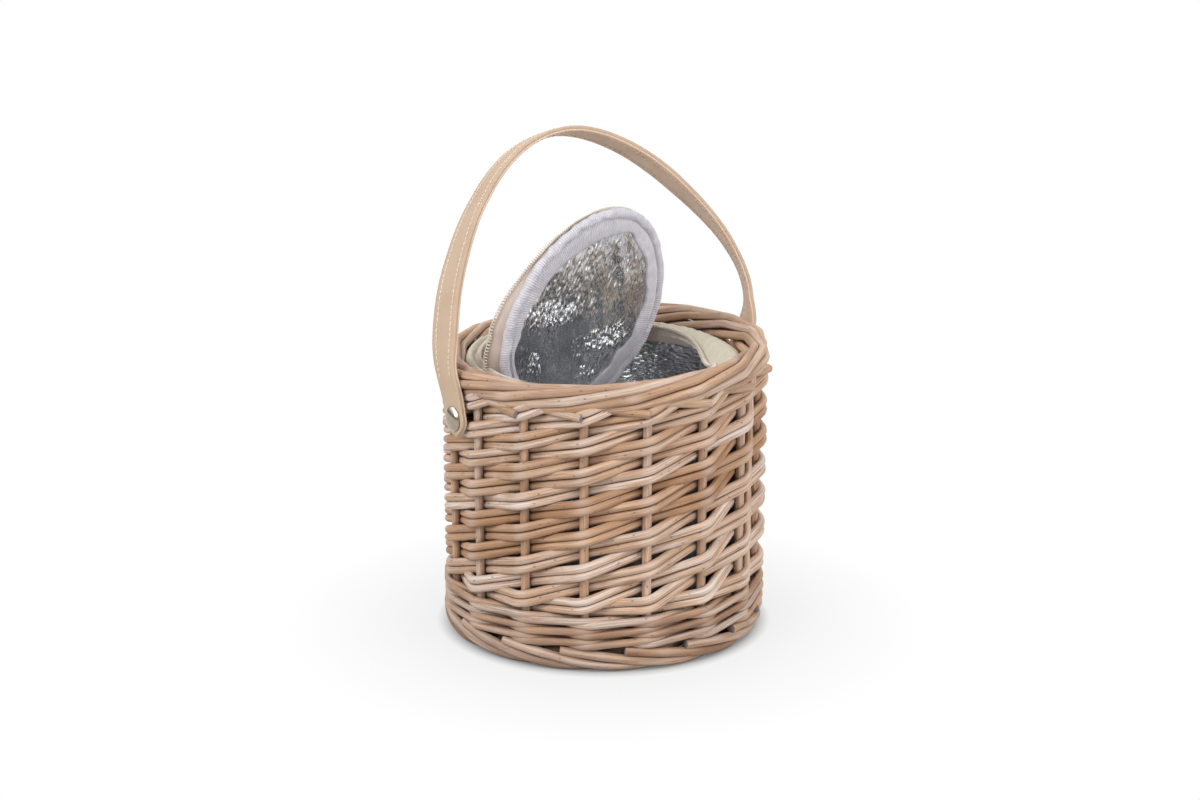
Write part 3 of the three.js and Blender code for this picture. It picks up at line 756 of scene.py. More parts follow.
# Waled band: three rounds, each rod in front of two stakes and behind the third
def make_wale():
    bottom = wale_bottom - WALE_DROP
    level = (wale_top - bottom) / (2 * WALE_ROUNDS)
    front = STAKE_CIRCLE + WALE_CROSSING + WALE_FRONT
    rear = STAKE_CIRCLE - WALE_CROSSING
    bundle = Bundle()
    for index in range(STAKE_COUNT * WALE_ROUNDS):
        low = bottom + level * (2 * (index // STAKE_COUNT) + 0.5)
        corners = []
        for step, radius, rise in ((-1, rear, 0.5), (0, front, 0), (1, front, 1), (2, rear, 0.5)):
            height = low + level * rise + chance.uniform(-0.2, 0.2)
            corners.append(polar(radius + chance.uniform(-0.1, 0.2), stake_angle(index + step), height))
        diameter = WALE_DIAMETER * chance.uniform(0.95, 1.05)
        add_rod(bundle, bent_path(corners, WALE_KINK), diameter, chance.random(), corners[1:3])
    nodes = [numbered("wale_rod", index) for index in range(WALE_NODES)]
    bundle.dress("willow_wale", willow_deep, "basket", "willow_dark", *nodes)


# Foot: short rods that start between the stakes and run down to the right under each other
def make_foot():
    bundle = Bundle()
    for index in range(STAKE_COUNT):
        corners = []
        for step, inset, height in FOOT_PLAN:
            corners.append(polar(FOOT_ROD_CIRCLE + inset, stake_angle(index + step), height))
        corners[0][2] += chance.uniform(-0.3, 0.6)
        diameter = FOOT_ROD_DIAMETER * chance.uniform(0.97, 1.03)
        add_rod(bundle, bent_path(corners, FOOT_KINK), diameter, chance.random(), corners[1:2], 0.9)
    bundle.dress("willow_foot_border", willow_deep, "basket", "willow_dark", "foot_border")


# Base: crossed sticks with rods woven round them
def make_base():
    stick_low, stick_high = box_mm("base_sticks")
    weave_low, weave_high = box_mm("base_weave")
    sticks = Bundle()
    reach = stick_high[0] - 1
    middle = (stick_low[2] + stick_high[2]) / 2
    for bar in range(BASE_BARS):
        angle = radians(FIRST_STAKE_DEG) + bar * pi / BASE_BARS
        across = np.array([-sin(angle), cos(angle), 0])
        for side in (-1, 1):
            aside = across * side * BASE_STICK_OFFSET
            ends = [polar(way * reach, angle, middle) + aside for way in (-1, 1)]
            add_rod(sticks, straight(*ends, 2 * ROD_SPACING), BASE_STICK_DIAMETER, chance.random())
    sticks.dress("willow_base_sticks", willow, "basket", "willow", "base_sticks")
    weave = Bundle()
    turns = np.linspace(0, tau, 97)
    for index in range(BASE_RINGS):
        radius = BASE_FIRST_RING + (weave_high[0] - 9) * index / (BASE_RINGS - 1)
        sway = BASE_RING_SWAY * np.cos(BASE_RING_WAVES * turns + pi * (index % 2))
        height = (weave_low[2] + weave_high[2]) / 2 + sway
        path = np.stack([radius * np.cos(turns), radius * np.sin(turns), height], axis=1)
        add_rod(weave, path, BASE_ROD_DIAMETER, chance.random(), sides=6)
    weave.dress("willow_base_weave", willow_deep, "basket", "willow_dark", "base_weave")


# Rivets: a domed cap on a post, and a washer inside the wall
def make_rivets():
    for name, turn in (("left", -pi / 2), ("right", pi / 2)):
        cap_low, cap_high = box_mm(f"rivet_{name}")
        washer_low, washer_high = box_mm(f"rivet_washer_{name}")
        place = Matrix.Translation((0, 0, handle_pivot[2])) @ Matrix.Rotation(turn, 4, "Y")
        root, top = sorted((abs(cap_low[0]), abs(cap_high[0])))
        under = top - RIVET_CAP_HEIGHT * 0.92
        rim = RIVET_CAP_RADIUS
        cap = [(0.01, root), (RIVET_POST_RADIUS, root), (RIVET_POST_RADIUS, under)]
        cap += [(rim - 0.4, under - 0.1), (rim, under + 0.25), (rim - 0.15, under + 0.7)]
        for rise in np.linspace(0.08, 1, 14) * pi / 2:
            cap.append((max(0.01, (rim - 0.5) * cos(rise)), under + 0.6 + RIVET_DOME * sin(rise)))
        rows = moved(ring_grid(cap, 64)[0], place)
        make_sheet(rows, None, f"nickel_rivet_{name}", nickel, "basket", "nickel", f"rivet_{name}")
        low, high = sorted((abs(washer_low[0]), abs(washer_high[0])))
        rim = washer_high[2] - handle_pivot[2]
        washer = [(0.01, low + 0.2), (2.4, low + 0.2), (2.8, low), (rim - 0.4, low), (rim, low + 0.4)]
        washer += [(rim, high), (0.01, high)]
        rows = moved(ring_grid(washer, 48)[0], place)
        make_sheet(rows, None, f"nickel_washer_{name}", nickel, "basket", "nickel", f"rivet_washer_{name}")


# Handle: a strap and its lining along one arched line, leaning back from the rivets
def handle_line():
    """Points of the strap's inner line, and how far along it they lie."""
    leg_start = RIVET_CAP_RADIUS + 0.3
    leg_rise = HANDLE_LEG - leg_start
    arch = HANDLE_HEIGHT - HANDLE_LEG
    leg = [(LINING_INNER, -STRAP_TIP + 2.0 * i) for i in range(int((STRAP_TIP + leg_start) // 2.0) + 1)]
    for share in np.linspace(0, 1, 12)[:-1]:
        out = LINING_INNER + (HANDLE_REACH - LINING_INNER) * eased(share)
        leg.append((out, leg_start + leg_rise * share))
    crown = []
    for turn in np.linspace(0, pi, 97):
        power = 2 / (HANDLE_ROUNDNESS if cos(turn) > 0 else HANDLE_LEFT_ROUNDNESS)
        out = copysign(abs(cos(turn)) ** power, cos(turn))
        crown.append((HANDLE_REACH * out, HANDLE_LEG + arch * max(sin(turn), 0.0) ** power))
    swayed = []
    for out, height in leg + crown + [(-out, height) for out, height in reversed(leg)]:
        share = (height - leg_start) / leg_rise
        fade = 1 - 0.5 * max(0.0, (height - HANDLE_LEG) / arch)
        sway = HANDLE_RIGHT_SWAY if out > 0 else HANDLE_SWAY
        sway = HANDLE_SWAY + (sway - HANDLE_SWAY) * min(abs(out) / (0.7 * HANDLE_REACH), 1)
        moved_out = sway * eased(share / 2) * fade
        if out < 0:
            moved_out += HANDLE_LEFT_INSET * clamp(share) * fade
        heights, shifts = zip(*(HANDLE_RIGHT_SHIFT if out > 0 else HANDLE_LEFT_SHIFT))
        swayed.append((out + moved_out + np.interp(height, heights, shifts), height))
    line = np.array(swayed)
    lengths = lengths_along(line)
    steps = np.linspace(0, lengths[-1], round(lengths[-1] / STRAP_POINTS) + 1)
    line = np.stack([np.interp(steps, lengths, line[:, i]) for i in range(2)], axis=1)
    for _ in range(6):
        line[1:-1] = (line[:-2] + 2 * line[1:-1] + line[2:]) / 4
    return line, steps


strap_line, strap_steps = handle_line()
strap_normals = tangents_of(strap_line)[:, ::-1] * np.array([1, -1])
strap_place = Matrix.Translation(handle_pivot.tolist()) @ Matrix.Rotation(radians(-HANDLE_LEAN_DEG), 4, "X")


def strap_half_width(distance):
    """Half the strap's width at a distance from its pointed tip."""
    half = STRAP_WIDTH / 2
    share = distance / (STRAP_TIP * STRAP_TIP_SHARE)
    return half if share >= 1 else max(0.6, half * sin(share * pi / 2) ** 1.05)


def strap_twist(point):
    """How far the strap is turned about its own line: flat at the rivets and the crown."""
    most = radians(RIGHT_TWIST_DEG if point[0] > 0 else LEFT_TWIST_DEG)
    rise = eased((point[1] - TWIST_START) / TWIST_RISE)
    return most * rise * eased((HANDLE_HEIGHT - TWIST_TOP - point[1]) / TWIST_FALL)


def strap_point(point, normal, across, lift):
    """A point of the strap, from its place across the width and above the lining's face."""
    turn = strap_twist(point)
    out = lift * cos(turn) + across * sin(turn)
    side = across * cos(turn) - lift * sin(turn)
    return (point[0] + normal[0] * out, side, point[1] + normal[1] * out)


def make_strap_layer(inner, outer, name, material, slot, node_name):
    seam = 1 - STITCH_INSET / (STRAP_WIDTH / 2)
    face = [(-1, inner + STRAP_EDGE), (-1, outer - STRAP_EDGE), (-0.97, outer)]
    face += [(-seam - 0.09, outer + 0.12), (-seam, outer - 0.14), (0.09 - seam, outer + 0.12)]
    face += [(-0.3, outer + 0.16)]
    section = face + [(-share, lift) for share, lift in reversed(face)]
    section += [(share, inner) for share in (0.97, 0.5, 0, -0.5, -0.97)]
    rows = []
    grain = []
    for point, normal, step in zip(strap_line, strap_normals, strap_steps):
        half = strap_half_width(min(step, strap_steps[-1] - step))
        rows.append([strap_point(point, normal, share * half, lift) for share, lift in section])
        grain.append([(step, share * half, lift) for share, lift in section])
    bundle = Bundle()
    bundle.skin(moved(np.array(rows), strap_place), np.array(grain))
    bundle.dress(name, material, "handle", slot, node_name)


def make_strap_stitches(face, way, name, material, slot):
    bundle = Bundle()
    for side in (-1, 1):
        across = side * (STRAP_WIDTH / 2 - STITCH_INSET)
        start = STITCH_START
        while start + STITCH_LENGTH < strap_steps[-1] - STITCH_START:
            path = []
            for share in np.linspace(0, 1, 5):
                spot = start + STITCH_LENGTH * share
                point = [np.interp(spot, strap_steps, strap_line[:, i]) for i in range(2)]
                normal = [np.interp(spot, strap_steps, strap_normals[:, i]) for i in range(2)]
                lift = face + way * (STITCH_BOW * sin(pi * share) - 0.12)
                path.append(strap_point(point, normal, across, lift))
            add_thread(bundle, moved(np.array(path), strap_place), STITCH_DIAMETER)
            start += STITCH_PITCH
    bundle.dress(name, material, "handle", slot)


def make_handle():
    seat = LINING_THICKNESS
    face = seat + STRAP_THICKNESS
    make_strap_layer(seat, face, "leather_strap", strap_leather, "strap_leather", "handle_strap")
    make_strap_layer(0.0, seat, "leather_lining", lining_leather, "lining_leather", "handle_lining")
    make_strap_stitches(face, 1, "strap_stitching", thread, "strap_leather")
    make_strap_stitches(0.0, -1, "lining_stitching", lining_thread, "lining_leather")


# Bag: fabric outside, foil inside, a puffed shoulder and half of a coil zip round the mouth
def make_bag_fabric():
    low, high = box_mm("liner_outer_fabric")
    floor, top = low[2], high[2]
    profile = [(0.1, floor), (40, floor), (BAG_RADIUS - 4, floor), (BAG_RADIUS - 1.5, floor + 1.5)]
    profile += [(BAG_RADIUS - 0.9, height) for height in np.linspace(floor + 5, top, 16)]
    profile += [(BAG_RADIUS - 1.6, top), (BAG_RADIUS - 1.8, top - 3)]

    def ripple(turn, row):
        return -abs(0.5 * ring_noise(turn, 3, row * 0.35)), 0.0

    rows, grain = ring_grid(profile, 96, ripple)
    make_sheet(rows, grain, "bag_outer_fabric", slate, "liner", "bag_fabric", "liner_outer_fabric")


def crinkle(x, y, z=0.0):
    """Height of crushed film: sharp ridges of three sizes, longer one way."""
    height = 0.0
    for size, share in ((6.5, 0.6), (3.2, 0.6), (1.7, 0.4)):
        height += share * (0.5 - abs(wave_noise(x / (size * 2.6), y / size, z / size + size)) * 2)
    return height


def make_bag_foil():
    floor = box_mm("liner_foil")[0][2] + 0.6
    top = tape_top - BAG_FOIL_DROP
    inner = BAG_FOIL_RADIUS
    profile = [(radius, floor) for radius in np.linspace(0.1, inner - 5, BAG_FLOOR_ROWS)]
    profile += [(inner - 1.2, floor + 1.5)]
    profile += [(inner, height) for height in np.linspace(floor + 5, top, 44)]

    def ripple(turn, row):
        radius, height = profile[row]
        if row < BAG_FLOOR_ROWS:
            return 0.0, max(0.0, 0.45 * crinkle(radius * cos(turn), radius * sin(turn)))
        fade = min(1.0, (top - height) / 8)
        return -abs(0.5 * fade * crinkle(height, turn * inner, 7.0)), 0.0

    rows, grain = (grid[:, ::-1] for grid in ring_grid(profile, 200, ripple))
    bundle = Bundle()
    bundle.grid(rows[:BAG_FLOOR_ROWS], wear=BAG_FOIL_CRUSH)
    bundle.grid(rows[BAG_FLOOR_ROWS - 1:], grain[BAG_FLOOR_ROWS - 1:], wear=BAG_FOIL_CRUSH)
    bundle.dress("bag_foil", bag_film, "liner", "foil", "liner_foil", "liner_foam")


def pinch(turn):
    """Share of the mouth's deepest fold at an angle, from 0 to 1."""
    away = remainder(turn - radians(MOUTH_PINCH_DEG), tau)
    return exp(-((away / radians(MOUTH_PINCH_REACH_DEG)) ** 2))


def mouth_pull(turn):
    """How far the soft mouth is drawn in, most at the side away from the lid."""
    return -2.5 * lobe(turn, 12, 2) - MOUTH_PINCH * pinch(turn)


def mouth_drop(turn):
    """How far the soft mouth sinks, most where the woven rim is low."""
    return -6.0 * lobe(turn, 218)


def make_seam(radius, spot, name, body):
    """A ring of stitches; spot(turn, bow) gives each point, with its bow above the cloth."""
    stitches = Bundle()
    count = round(tau * radius / STITCH_PITCH)
    for index in range(count):
        path = []
        for share in np.linspace(0, 1, 4):
            path.append(spot((index + 0.6 * share) * tau / count, STITCH_BOW * sin(pi * share)))
        add_thread(stitches, path, SEAM_THREAD)
    stitches.dress(name, thread, body, "liner_fabric")


def make_shoulder():
    low, high = box_mm("liner_shoulder")
    crest = high[2] - SHOULDER_PUFF
    outer = BAG_RADIUS - 0.1
    inner = outer - 0.3 - SHOULDER_WIDTH
    middle = (outer + inner) / 2
    hem = low[2] - 1.0
    profile = [(outer - 0.8, hem + 0.2), (outer - 0.1, hem), (outer, hem + 0.5), (outer, hem + 2.5)]
    for roll in np.linspace(0, 1, 15) * pi:
        profile.append((middle + (outer - middle) * cos(roll), crest + SHOULDER_PUFF * sin(roll)))
    profile.append((inner - 0.2, high[2] - 6.5))

    def ripple(turn, row):
        share = clamp((row - 3) / 12)
        gather = 0.28 * share * sin(SHOULDER_GATHERS * turn + 3 * ring_noise(turn, 4))
        slack = 0.7 * share * ring_noise(turn, 5, 3.0)
        crumple = 1.5 * share * pinch(turn) * ring_noise(turn, 24, row * 0.3)
        fold = share**2 * MOUTH_FOLD * pinch(turn)
        out = min(gather * 0.6, 0.3) + share * mouth_pull(turn)
        return out, gather + slack + crumple + mouth_drop(turn) - fold

    rows, grain = ring_grid(profile, 384, ripple)
    make_sheet(rows, grain, "bag_shoulder", sage, "liner", "liner_fabric", "liner_shoulder")

    def spot(turn, bow):
        return polar(outer + bow - 0.1, turn, hem + 1.8 + mouth_drop(turn))

    make_seam(outer, spot, "bag_hem_stitching", "liner")


def make_coil(radius, middle, place, name, body, node_name):
    """A coil wound round a ring; middle(angle) gives the radius and height of its middle."""
    turns = round(tau * radius / COIL_PITCH)
    path = []
    for share in np.linspace(0, 1, turns * COIL_POINTS + 1):
        angle, turn = tau * share, tau * turns * share
        out, height = middle(angle)
        path.append(polar(out + COIL_RADIUS * cos(turn), angle, height + COIL_RADIUS * sin(turn)))
    coil = Bundle()
    add_thread(coil, moved(np.array(path), place), COIL_WIRE)
    coil.dress(name, coil_plastic, body, "zip_teeth", node_name)


def make_bag_zip():
    outer = BAG_RADIUS - 0.4 - SHOULDER_WIDTH
    tape = [
        (outer + 1.0, -3.0), (outer - 0.3, -0.4), (outer - 1.0, 0), (MOUTH_RADIUS + 1.2, 0.1),
        (MOUTH_RADIUS + 0.9, -0.5), (outer - 1.6, -0.9), (outer - 1.4, -4), (outer - 1.3, -10),
        (BAG_FOIL_RADIUS + 0.1, -11.5),
    ]
    hold = (1, 1, 1, 1, 1, 1, 0.7, 0.3, 0)

    def ripple(turn, row):
        return hold[row] * mouth_pull(turn), mouth_drop(turn) - hold[row] * MOUTH_FOLD * pinch(turn)

    rows, grain = ring_grid([(radius, tape_top + rise) for radius, rise in tape], 256, ripple)
    make_sheet(rows, grain, "bag_zip_tape", tape_cloth, "liner", "zip_tape", "liner_zip_tape")

    def middle(angle):
        height = tape_top + mouth_drop(angle) - MOUTH_FOLD * pinch(angle)
        return MOUTH_RADIUS + 0.55 + mouth_pull(angle), height

    make_coil(MOUTH_RADIUS, middle, Matrix.Identity(4), "bag_zip_coil", "liner", "liner_zip_teeth")


# Lid: a soft pad with a foil face, a ribbed binding and the other half of the coil zip
lid_place = (
    Matrix.Translation(lid_pivot.tolist())
    @ Matrix.Rotation(radians(LID_HINGE_DEG), 4, "Z")
    @ Matrix.Rotation(radians(LID_OPEN_DEG), 4, "Y")
    @ Matrix.Translation((-LID_PIVOT, 0, 0))
)


def lid_spots(x, y):
    """Share of the crushed spots of the lid's film at a point."""
    spots = 0.0
    for mid_x, mid_y, reach_x, reach_y in LID_CRUSH_SPOTS:
        spots += exp(-(((x - mid_x) / reach_x) ** 2) - ((y - mid_y) / reach_y) ** 2)
    return spots


def lid_crush(x, y):
    """How crushed the lid's film is, from 0 to 1: a little at its top and most at the spots below."""
    top = 1 / (1 + exp((x + 8) / 7))
    uneven = 0.25 * wave_noise(x / 16, y / 12, 9.0)
    return clamp(0.2 + 0.2 * top + 1.6 * lid_spots(x, y) + uneven)


def lid_sag(turn):
    """How far the lid's soft edge is drawn in, most at its upper left and lower right as it stands open."""
    uneven = 2.0 * max(0.0, ring_noise(turn, 5, 4.0))
    return -4.5 * lobe(turn, 138, 3) - 1.5 * lobe(turn, 325, 3) - 1.2 * lobe(turn, 245, 12) - uneven


def binding_slack(turn):
    return ring_noise(turn, 3.5, 6.0)


def binding_inner(turn):
    """Radius of the binding's inner edge: narrow at one side, wide at the upper left and lower right."""
    drawn = 5.0 * lobe(turn, 72, 2) - 3.5 * lobe(turn, 150, 2) - 5.0 * lobe(turn, 300, 2)
    return LID_RADIUS - LID_BINDING_WIDTH + drawn + 4.0 * binding_slack(turn) + lid_sag(turn)


def make_lid_foil():
    shares = np.linspace(0.002, 1, 130)

    def ripple(turn, row):
        share = shares[row]
        radius = share * (binding_inner(turn) + 2.0)
        x, y = radius * cos(turn), radius * sin(turn)
        edge = 1 - share**6
        fold = LID_FOLD * edge * wave_noise(x / 45, (y + 0.35 * x) / 9, 4.0)
        fold -= LID_SPOT_BULGE * edge * lid_spots(x - LID_SPOT_DROP, y)
        crushed = (0.2 + 1.6 * lid_crush(x, y)) * edge**0.5 * crinkle(x, y)
        return radius - share, fold - LID_DISH * edge - crushed

    rows = ring_grid([(share, LID_FACE) for share in shares], 480, ripple)[0][:, ::-1]
    crushed = [lid_crush(x, y) for x, y, _ in rows.reshape(-1, 3)]
    nodes = ("lid_foil_face", "lid_foam_pad")
    make_sheet(moved(rows, lid_place), rows, "lid_foil", lid_film, "lid", "foil", *nodes, wear=crushed)


def make_lid_binding():
    shares = [share for share, _ in LID_BINDING_FLAT]
    profile = []
    for share, drop in LID_BINDING_FLAT:
        profile.append((LID_RIM - LID_BINDING_WIDTH * (1 - share), LID_FACE + drop))
    middle = LID_RIM - LID_BINDING_ROLL
    for roll in pi * (1.15 * np.linspace(0, 1, 14) - 0.42):
        profile.append((middle + LID_BINDING_ROLL * sin(roll), LID_FACE + 1.1 - 2.6 * cos(roll)))
    roll_start = profile[len(shares)][0]

    def ripple(turn, row):
        rib = -0.2 * cos(LID_RIBS * turn) if row else 0.0
        lift = rib - 0.5 * binding_slack(turn)
        if row >= len(shares):
            rumple = 0.8 * ring_noise(turn, 11, row * 0.2)
            return lid_sag(turn) + 0.5 * rumple, lift + rumple
        inner = binding_inner(turn)
        radius = inner + (roll_start + lid_sag(turn) - inner) * shares[row]
        pucker = 0.7 * (1 - shares[row]) * ring_noise(turn, 9, 2.0)
        return radius - profile[row][0], lift - abs(pucker)

    sides = LID_RIBS * 6
    rows, grain = ring_grid(profile, sides, ripple)
    # Painted shade: the colour darkens along each rib's valley.
    valley = [0.5 + 0.5 * cos(LID_RIBS * tau * i / sides) for i in range(sides)]
    tint = np.tile(valley, len(profile))
    rows = moved(rows, lid_place)
    make_sheet(rows, grain, "lid_binding_rib", binding_cloth, "lid", "binding", "lid_binding", tint=tint)


def collar_flare(turn):
    """How far the lid's zip tape leans out, most at the side where it hangs loose."""
    return 0.6 + 5.5 * lobe(turn, 62, 2) - 7.0 * lobe(turn, 152, 2)


def collar_wave(turn):
    return COLLAR_WAVE * ring_noise(turn, 3, 8.0)


def make_lid_zip():
    rim = LID_RIM
    start = LID_FACE + 2
    tape = [(rim - 1.6, LID_FACE + 1.6), (rim - 0.5, LID_FACE + 2.6), (rim - 0.3, 2.0), (rim, COLLAR_TOP)]
    tape += [(rim - 0.6, COLLAR_TOP), (rim - 1.0, 2.0), (rim - 1.4, 1.0)]

    def ripple(turn, row):
        share = max(0.0, (tape[row][1] - start) / (COLLAR_TOP - start))
        return lid_sag(turn) + collar_flare(turn) * share, share * collar_wave(turn)

    rows, grain = ring_grid(tape, 256, ripple)
    rows = moved(rows, lid_place)
    make_sheet(rows, grain, "lid_tape_collar", tape_cloth, "lid", "zip_tape", "lid_zip_tape")

    def middle(angle):
        return rim + 0.3 + lid_sag(angle) + collar_flare(angle), COLLAR_TOP + 0.2 + collar_wave(angle)

    make_coil(rim, middle, lid_place, "lid_zip_coil", "lid", "lid_zip_teeth")


def make_lid_cover():
    reach, seam = LID_COVER_REACH, LID_COVER_SEAM
    radii = sorted([*np.linspace(0.1, reach, 40), seam - 0.7, seam, seam + 0.7])

    def level(radius):
        groove = 0.5 * exp(-(((radius - seam) / 0.6) ** 2))
        return 2.2 + 1.6 * (1 - (radius / reach) ** 2) - groove

    def ripple(turn, row):
        radius = radii[row]
        x, y = radius * cos(turn), radius * sin(turn)
        pucker = 0.25 * exp(-(((radius - seam) / 3) ** 2)) * wave_noise(turn * 14, 3.0)
        wrinkle = 0.5 * wave_noise(x / 34, y / 34, 2.0) + 0.3 * wave_noise(x / 30, y / 9, 5.0)
        return lid_sag(turn) * radius / reach, (wrinkle + pucker) * (1 - (radius / reach) ** 4)

    def spot(turn, bow):
        radius = seam * (1 + lid_sag(turn) / reach)
        return moved(polar(radius, turn, level(seam) + 0.1 + bow), lid_place)

    rows, _ = ring_grid([(radius, level(radius)) for radius in radii], 192, ripple)
    dressing = ("lid_outer_cover", sage, "lid", "liner_fabric", "lid_outer_panel")
    piece = make_sheet(moved(rows, lid_place), rows, *dressing)
    make_seam(seam, spot, "lid_cover_stitching", "lid")


# Hinge: a strip of fabric from the bag's mouth down to the lid's back edge
def make_hinge_strip():
    out = polar(1.0, radians(LID_HINGE_DEG), 0.0)
    side = np.array([-out[1], out[0], 0.0])
    up = np.array([0.0, 0.0, 1.0])
    opened = radians(LID_OPEN_DEG)
    rear = out * cos(opened) - up * sin(opened)
    outward = out * sin(opened) + up * cos(opened)
    rows = []
    lengths = []
    places = np.linspace(-1, 1, 23) * HINGE_STRIP_WIDTH / 2
    shares = np.linspace(0, 1, 41)
    for faced in (1, -1):
        for place in places[::faced]:
            mouth = sqrt(MOUTH_RADIUS**2 - place**2) - LID_PIVOT - 1.0
            edge = sqrt(LID_RADIUS**2 - place**2) - LID_PIVOT + 0.9
            start = out * mouth + up * 1.4
            end = rear * edge + outward * 2.5
            low = (start + end) / 2
            low[2] = end[2] - HINGE_STRIP_SAG
            wall = out * mouth + up * (start[2] + end[2]) / 2
            slack = HINGE_STRIP_SLACK * wave_noise(place / 9, 1.5)
            line = []
            for share in shares:
                rest = 1 - share
                spot = rest**3 * start + 3 * rest**2 * share * wall + 3 * rest * share**2 * low
                line.append(spot + share**3 * end + out * slack * sin(pi * share))
            line = np.array(line)
            face = np.cross(tangents_of(line), side)
            lengths.append(np.linalg.norm(np.diff(line, axis=0), axis=1).sum())
            rows.append(line + face * HINGE_STRIP_THICKNESS / 2 * faced + side * place + lid_pivot)
    rows = np.array(rows).transpose(1, 0, 2)
    length = float(np.mean(lengths))
    across = np.concatenate([places, places[::-1]])
    grain = np.array([[(place, length * share, 0) for place in across] for share in shares])
    bundle = Bundle()
    bundle.skin(rows, grain)
    strip = bundle.build("lid_hinge_cloth", sage)
    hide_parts("lid_hinge_strip")
    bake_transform(strip)


# Zip slider and its pull
def plate_outline(middle, half_length, half_back, half_front, sides=40):
    turns = np.arange(sides) * tau / sides
    along, across = (np.sign(wave) * np.abs(wave) ** 0.6 for wave in (np.cos(turns), np.sin(turns)))
    half = half_back + (half_front - half_back) * (along + 1) / 2
    return np.stack([middle + half_length * along, half * across], axis=1)


def stamped(bundle, outline, levels, place):
    """A stamped plate: its outline drawn in by an inset at each level."""
    inward = unit(outline.mean(axis=0) - outline)
    rings = []
    for level, inset in levels:
        rings.append(np.column_stack([outline + inward * inset, np.full(len(outline), level)]))
    bundle.skin(moved(np.array(rings), place))


def make_slider():
    pivot = np.array(joints["zip_pull_swing"]["pos_m"]) / MM
    low, high = box_mm("zip_slider")
    spin = Matrix.Rotation(atan2(pivot[1], pivot[0]) - pi / 2, 4, "Z")
    place = Matrix.Translation((pivot[0], pivot[1], low[2])) @ spin
    body = Bundle()
    outline = plate_outline(0, SLIDER_LENGTH / 2, SLIDER_WIDTH * 0.42, SLIDER_WIDTH / 2)
    plate = SLIDER_HEIGHT / 3
    for foot in (0.0, SLIDER_HEIGHT - plate):
        levels = ((foot, 0.3), (foot + 0.2, 0), (foot + plate - 0.25, 0), (foot + plate, 0.35))
        stamped(body, outline, levels, place)
    post = plate_outline(SLIDER_LENGTH * 0.2, SLIDER_LENGTH * 0.22, 0.7, 1.5)
    stamped(body, post, ((plate / 2, 0), (SLIDER_HEIGHT - plate / 2, 0)), place)
    reach = BRIDGE_LENGTH / 2 - BRIDGE_WALL / 2
    crown = high[2] - low[2] - BRIDGE_WALL / 2
    corners = [(-reach, 0, BRIDGE_ROOT), (-reach, 0, crown), (reach, 0, crown), (reach, 0, BRIDGE_ROOT)]
    arch = bent_path(corners, 1.3, 0.8)
    normals = np.cross(tangents_of(arch), np.array([0, -1.0, 0]))
    section = []
    for way in (1, -1):
        for across, lift in BRIDGE_HALF_SECTION:
            offset = normals * way * lift * BRIDGE_WALL / 2
            section.append(arch + offset + np.array([0, way * across * BRIDGE_WIDTH / 2, 0]))
    body.skin(moved(np.array(section).transpose(1, 0, 2), place))
    body.dress("slider_body", nickel, "zip_slider", "nickel", "zip_slider")
    swing = Matrix.Translation(pivot.tolist()) @ spin
    pull = Bundle()
    hand = PULL_WIDTH / 2 - PULL_THICKNESS / 2
    loop = bent_path([(PULL_LOOP, -hand, 0), (0, -hand, 0), (0, hand, 0), (PULL_LOOP, hand, 0)], 1.6, 0.8)
    add_rod(pull, moved(loop, swing), PULL_THICKNESS, sides=12, wobble=0)
    middle, half_length = (PULL_LENGTH + PULL_LEAF_START) / 2, (PULL_LENGTH - PULL_LEAF_START) / 2
    leaf = plate_outline(middle, half_length, PULL_WIDTH * 0.47, PULL_WIDTH / 2)
    half = PULL_THICKNESS / 2
    lower = [(0.3 - half, 1.5), (0.3 - half, 1.1), (-half, 0.9), (-half, 0.25), (0.25 - half, 0)]
    stamped(pull, leaf, lower + [(-level, inset) for level, inset in reversed(lower)], swing)
    pull.dress("slider_pull", nickel, "zip_pull", "nickel", "zip_pull")


# Stage, light and camera
def make_stage():
    mesh = bpy.data.meshes.new("floor")
    corners = [(x * FLOOR_HALF, y * FLOOR_HALF, 0) for x, y in ((-1, -1), (1, -1), (1, 1), (-1, 1))]
    mesh.from_pydata(corners, [], [(0, 1, 2, 3)])
    floor = add_object("floor", mesh)
    made, tree, shader = new_material("pale_floor")
    feed(tree, shader, Base_Color=(0.48, 0.48, 0.48, 1), Roughness=0.9)
    glow = node(tree, "Emission", {"Color": WHITE, "Strength": 1.0})
    path = node(tree, "LightPath")
    middle = node(tree, "NewGeometry").outputs["Position"]
    radius = node(tree, "VectorMath", {0: middle}, operation="LENGTH").outputs["Value"]
    clear = spread(tree, radius, 0.095, 0.105, 0.1, 0.8)
    clear = times(tree, clear, spread(tree, radius, 0.105, 0.2, 0.0, 0.2), "ADD")
    seen = times(tree, path.outputs["Is Camera Ray"], path.outputs["Is Glossy Ray"], "MAXIMUM")
    seen = times(tree, seen, clear)
    both = node(tree, "MixShader", {0: seen, 1: shader.outputs[0], 2: glow.outputs[0]})
    tree.links.new(both.outputs[0], tree.nodes["Material Output"].inputs["Surface"])
    mesh.materials.append(made)


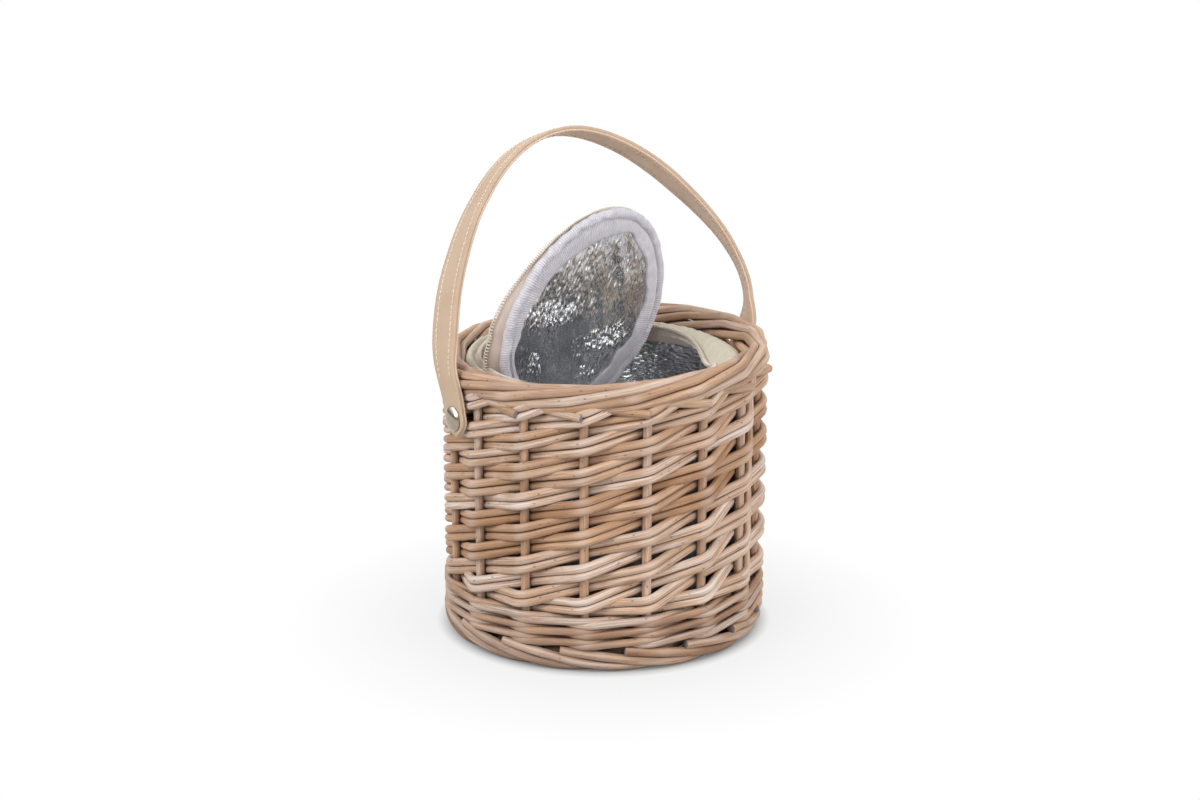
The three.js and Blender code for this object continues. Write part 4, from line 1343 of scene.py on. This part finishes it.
def place_aimed(name, data, azimuth, elevation, distance):
    """Puts a lamp or camera at a distance from the aim, looking at it."""
    turn, rise = radians(azimuth), radians(elevation)
    back = Vector((sin(turn) * cos(rise), -cos(turn) * cos(rise), sin(rise)))
    made = add_object(name, data)
    made.location = Vector(CAMERA_AIM) + back * distance
    made.rotation_mode = "QUATERNION"
    made.rotation_quaternion = (-back).to_track_quat("-Z", "Y")
    return made


def make_light():
    world = bpy.data.worlds.new("studio")
    bpy.context.scene.world = world
    world.use_nodes = True
    tree = world.node_tree
    light = tree.nodes["Background"]
    plug(tree, light, {"Color": (0.93, 0.96, 1.0, 1), "Strength": 0.6})
    path = node(tree, "LightPath").outputs
    towards = node(tree, "TexCoord").outputs["Generated"]
    rise = node(tree, "SeparateXYZ", {0: towards}).outputs[2]
    ceiling = spread(tree, rise, 0.05, 0.42, 0.28, 1.5)
    ceiling = times(tree, ceiling, spread(tree, rise, 0.5, 0.75, 0.0, 2.5), "ADD")
    mirrored = node(tree, "Background", {"Color": WHITE, "Strength": ceiling})
    white = node(tree, "Background", {"Color": WHITE, "Strength": 1.0})
    lit = light
    for ray, seen in (("Is Glossy Ray", mirrored), ("Is Camera Ray", white)):
        lit = node(tree, "MixShader", {0: path[ray], 1: lit.outputs[0], 2: seen.outputs[0]})
    tree.links.new(lit.outputs[0], tree.nodes["World Output"].inputs["Surface"])
    for name, (azimuth, elevation, distance, size, power) in LAMPS.items():
        lamp = bpy.data.lights.new(name, "AREA")
        lamp.shape = "SQUARE"
        lamp.size = size
        lamp.energy = power
        place_aimed(name, lamp, azimuth, elevation, distance)


def make_camera():
    data = bpy.data.cameras.new("camera")
    data.sensor_width = CAMERA_SENSOR
    data.lens = CAMERA_LENS
    data.shift_x = AIM_SHIFT_X
    data.shift_y = AIM_SHIFT_Y
    camera = place_aimed("camera", data, CAMERA_AZIMUTH_DEG, CAMERA_ELEVATION_DEG, CAMERA_DISTANCE)
    bpy.context.scene.camera = camera
    bpy.context.scene.view_settings.view_transform = "Standard"


make_camera()
make_light()
make_stage()
make_weavers()
make_stakes()
make_wale()
make_foot()
make_base()
make_rivets()
make_handle()
make_bag_fabric()
make_bag_foil()
make_shoulder()
make_bag_zip()
make_lid_foil()
make_lid_binding()
make_lid_zip()
make_lid_cover()
make_hinge_strip()
make_slider()
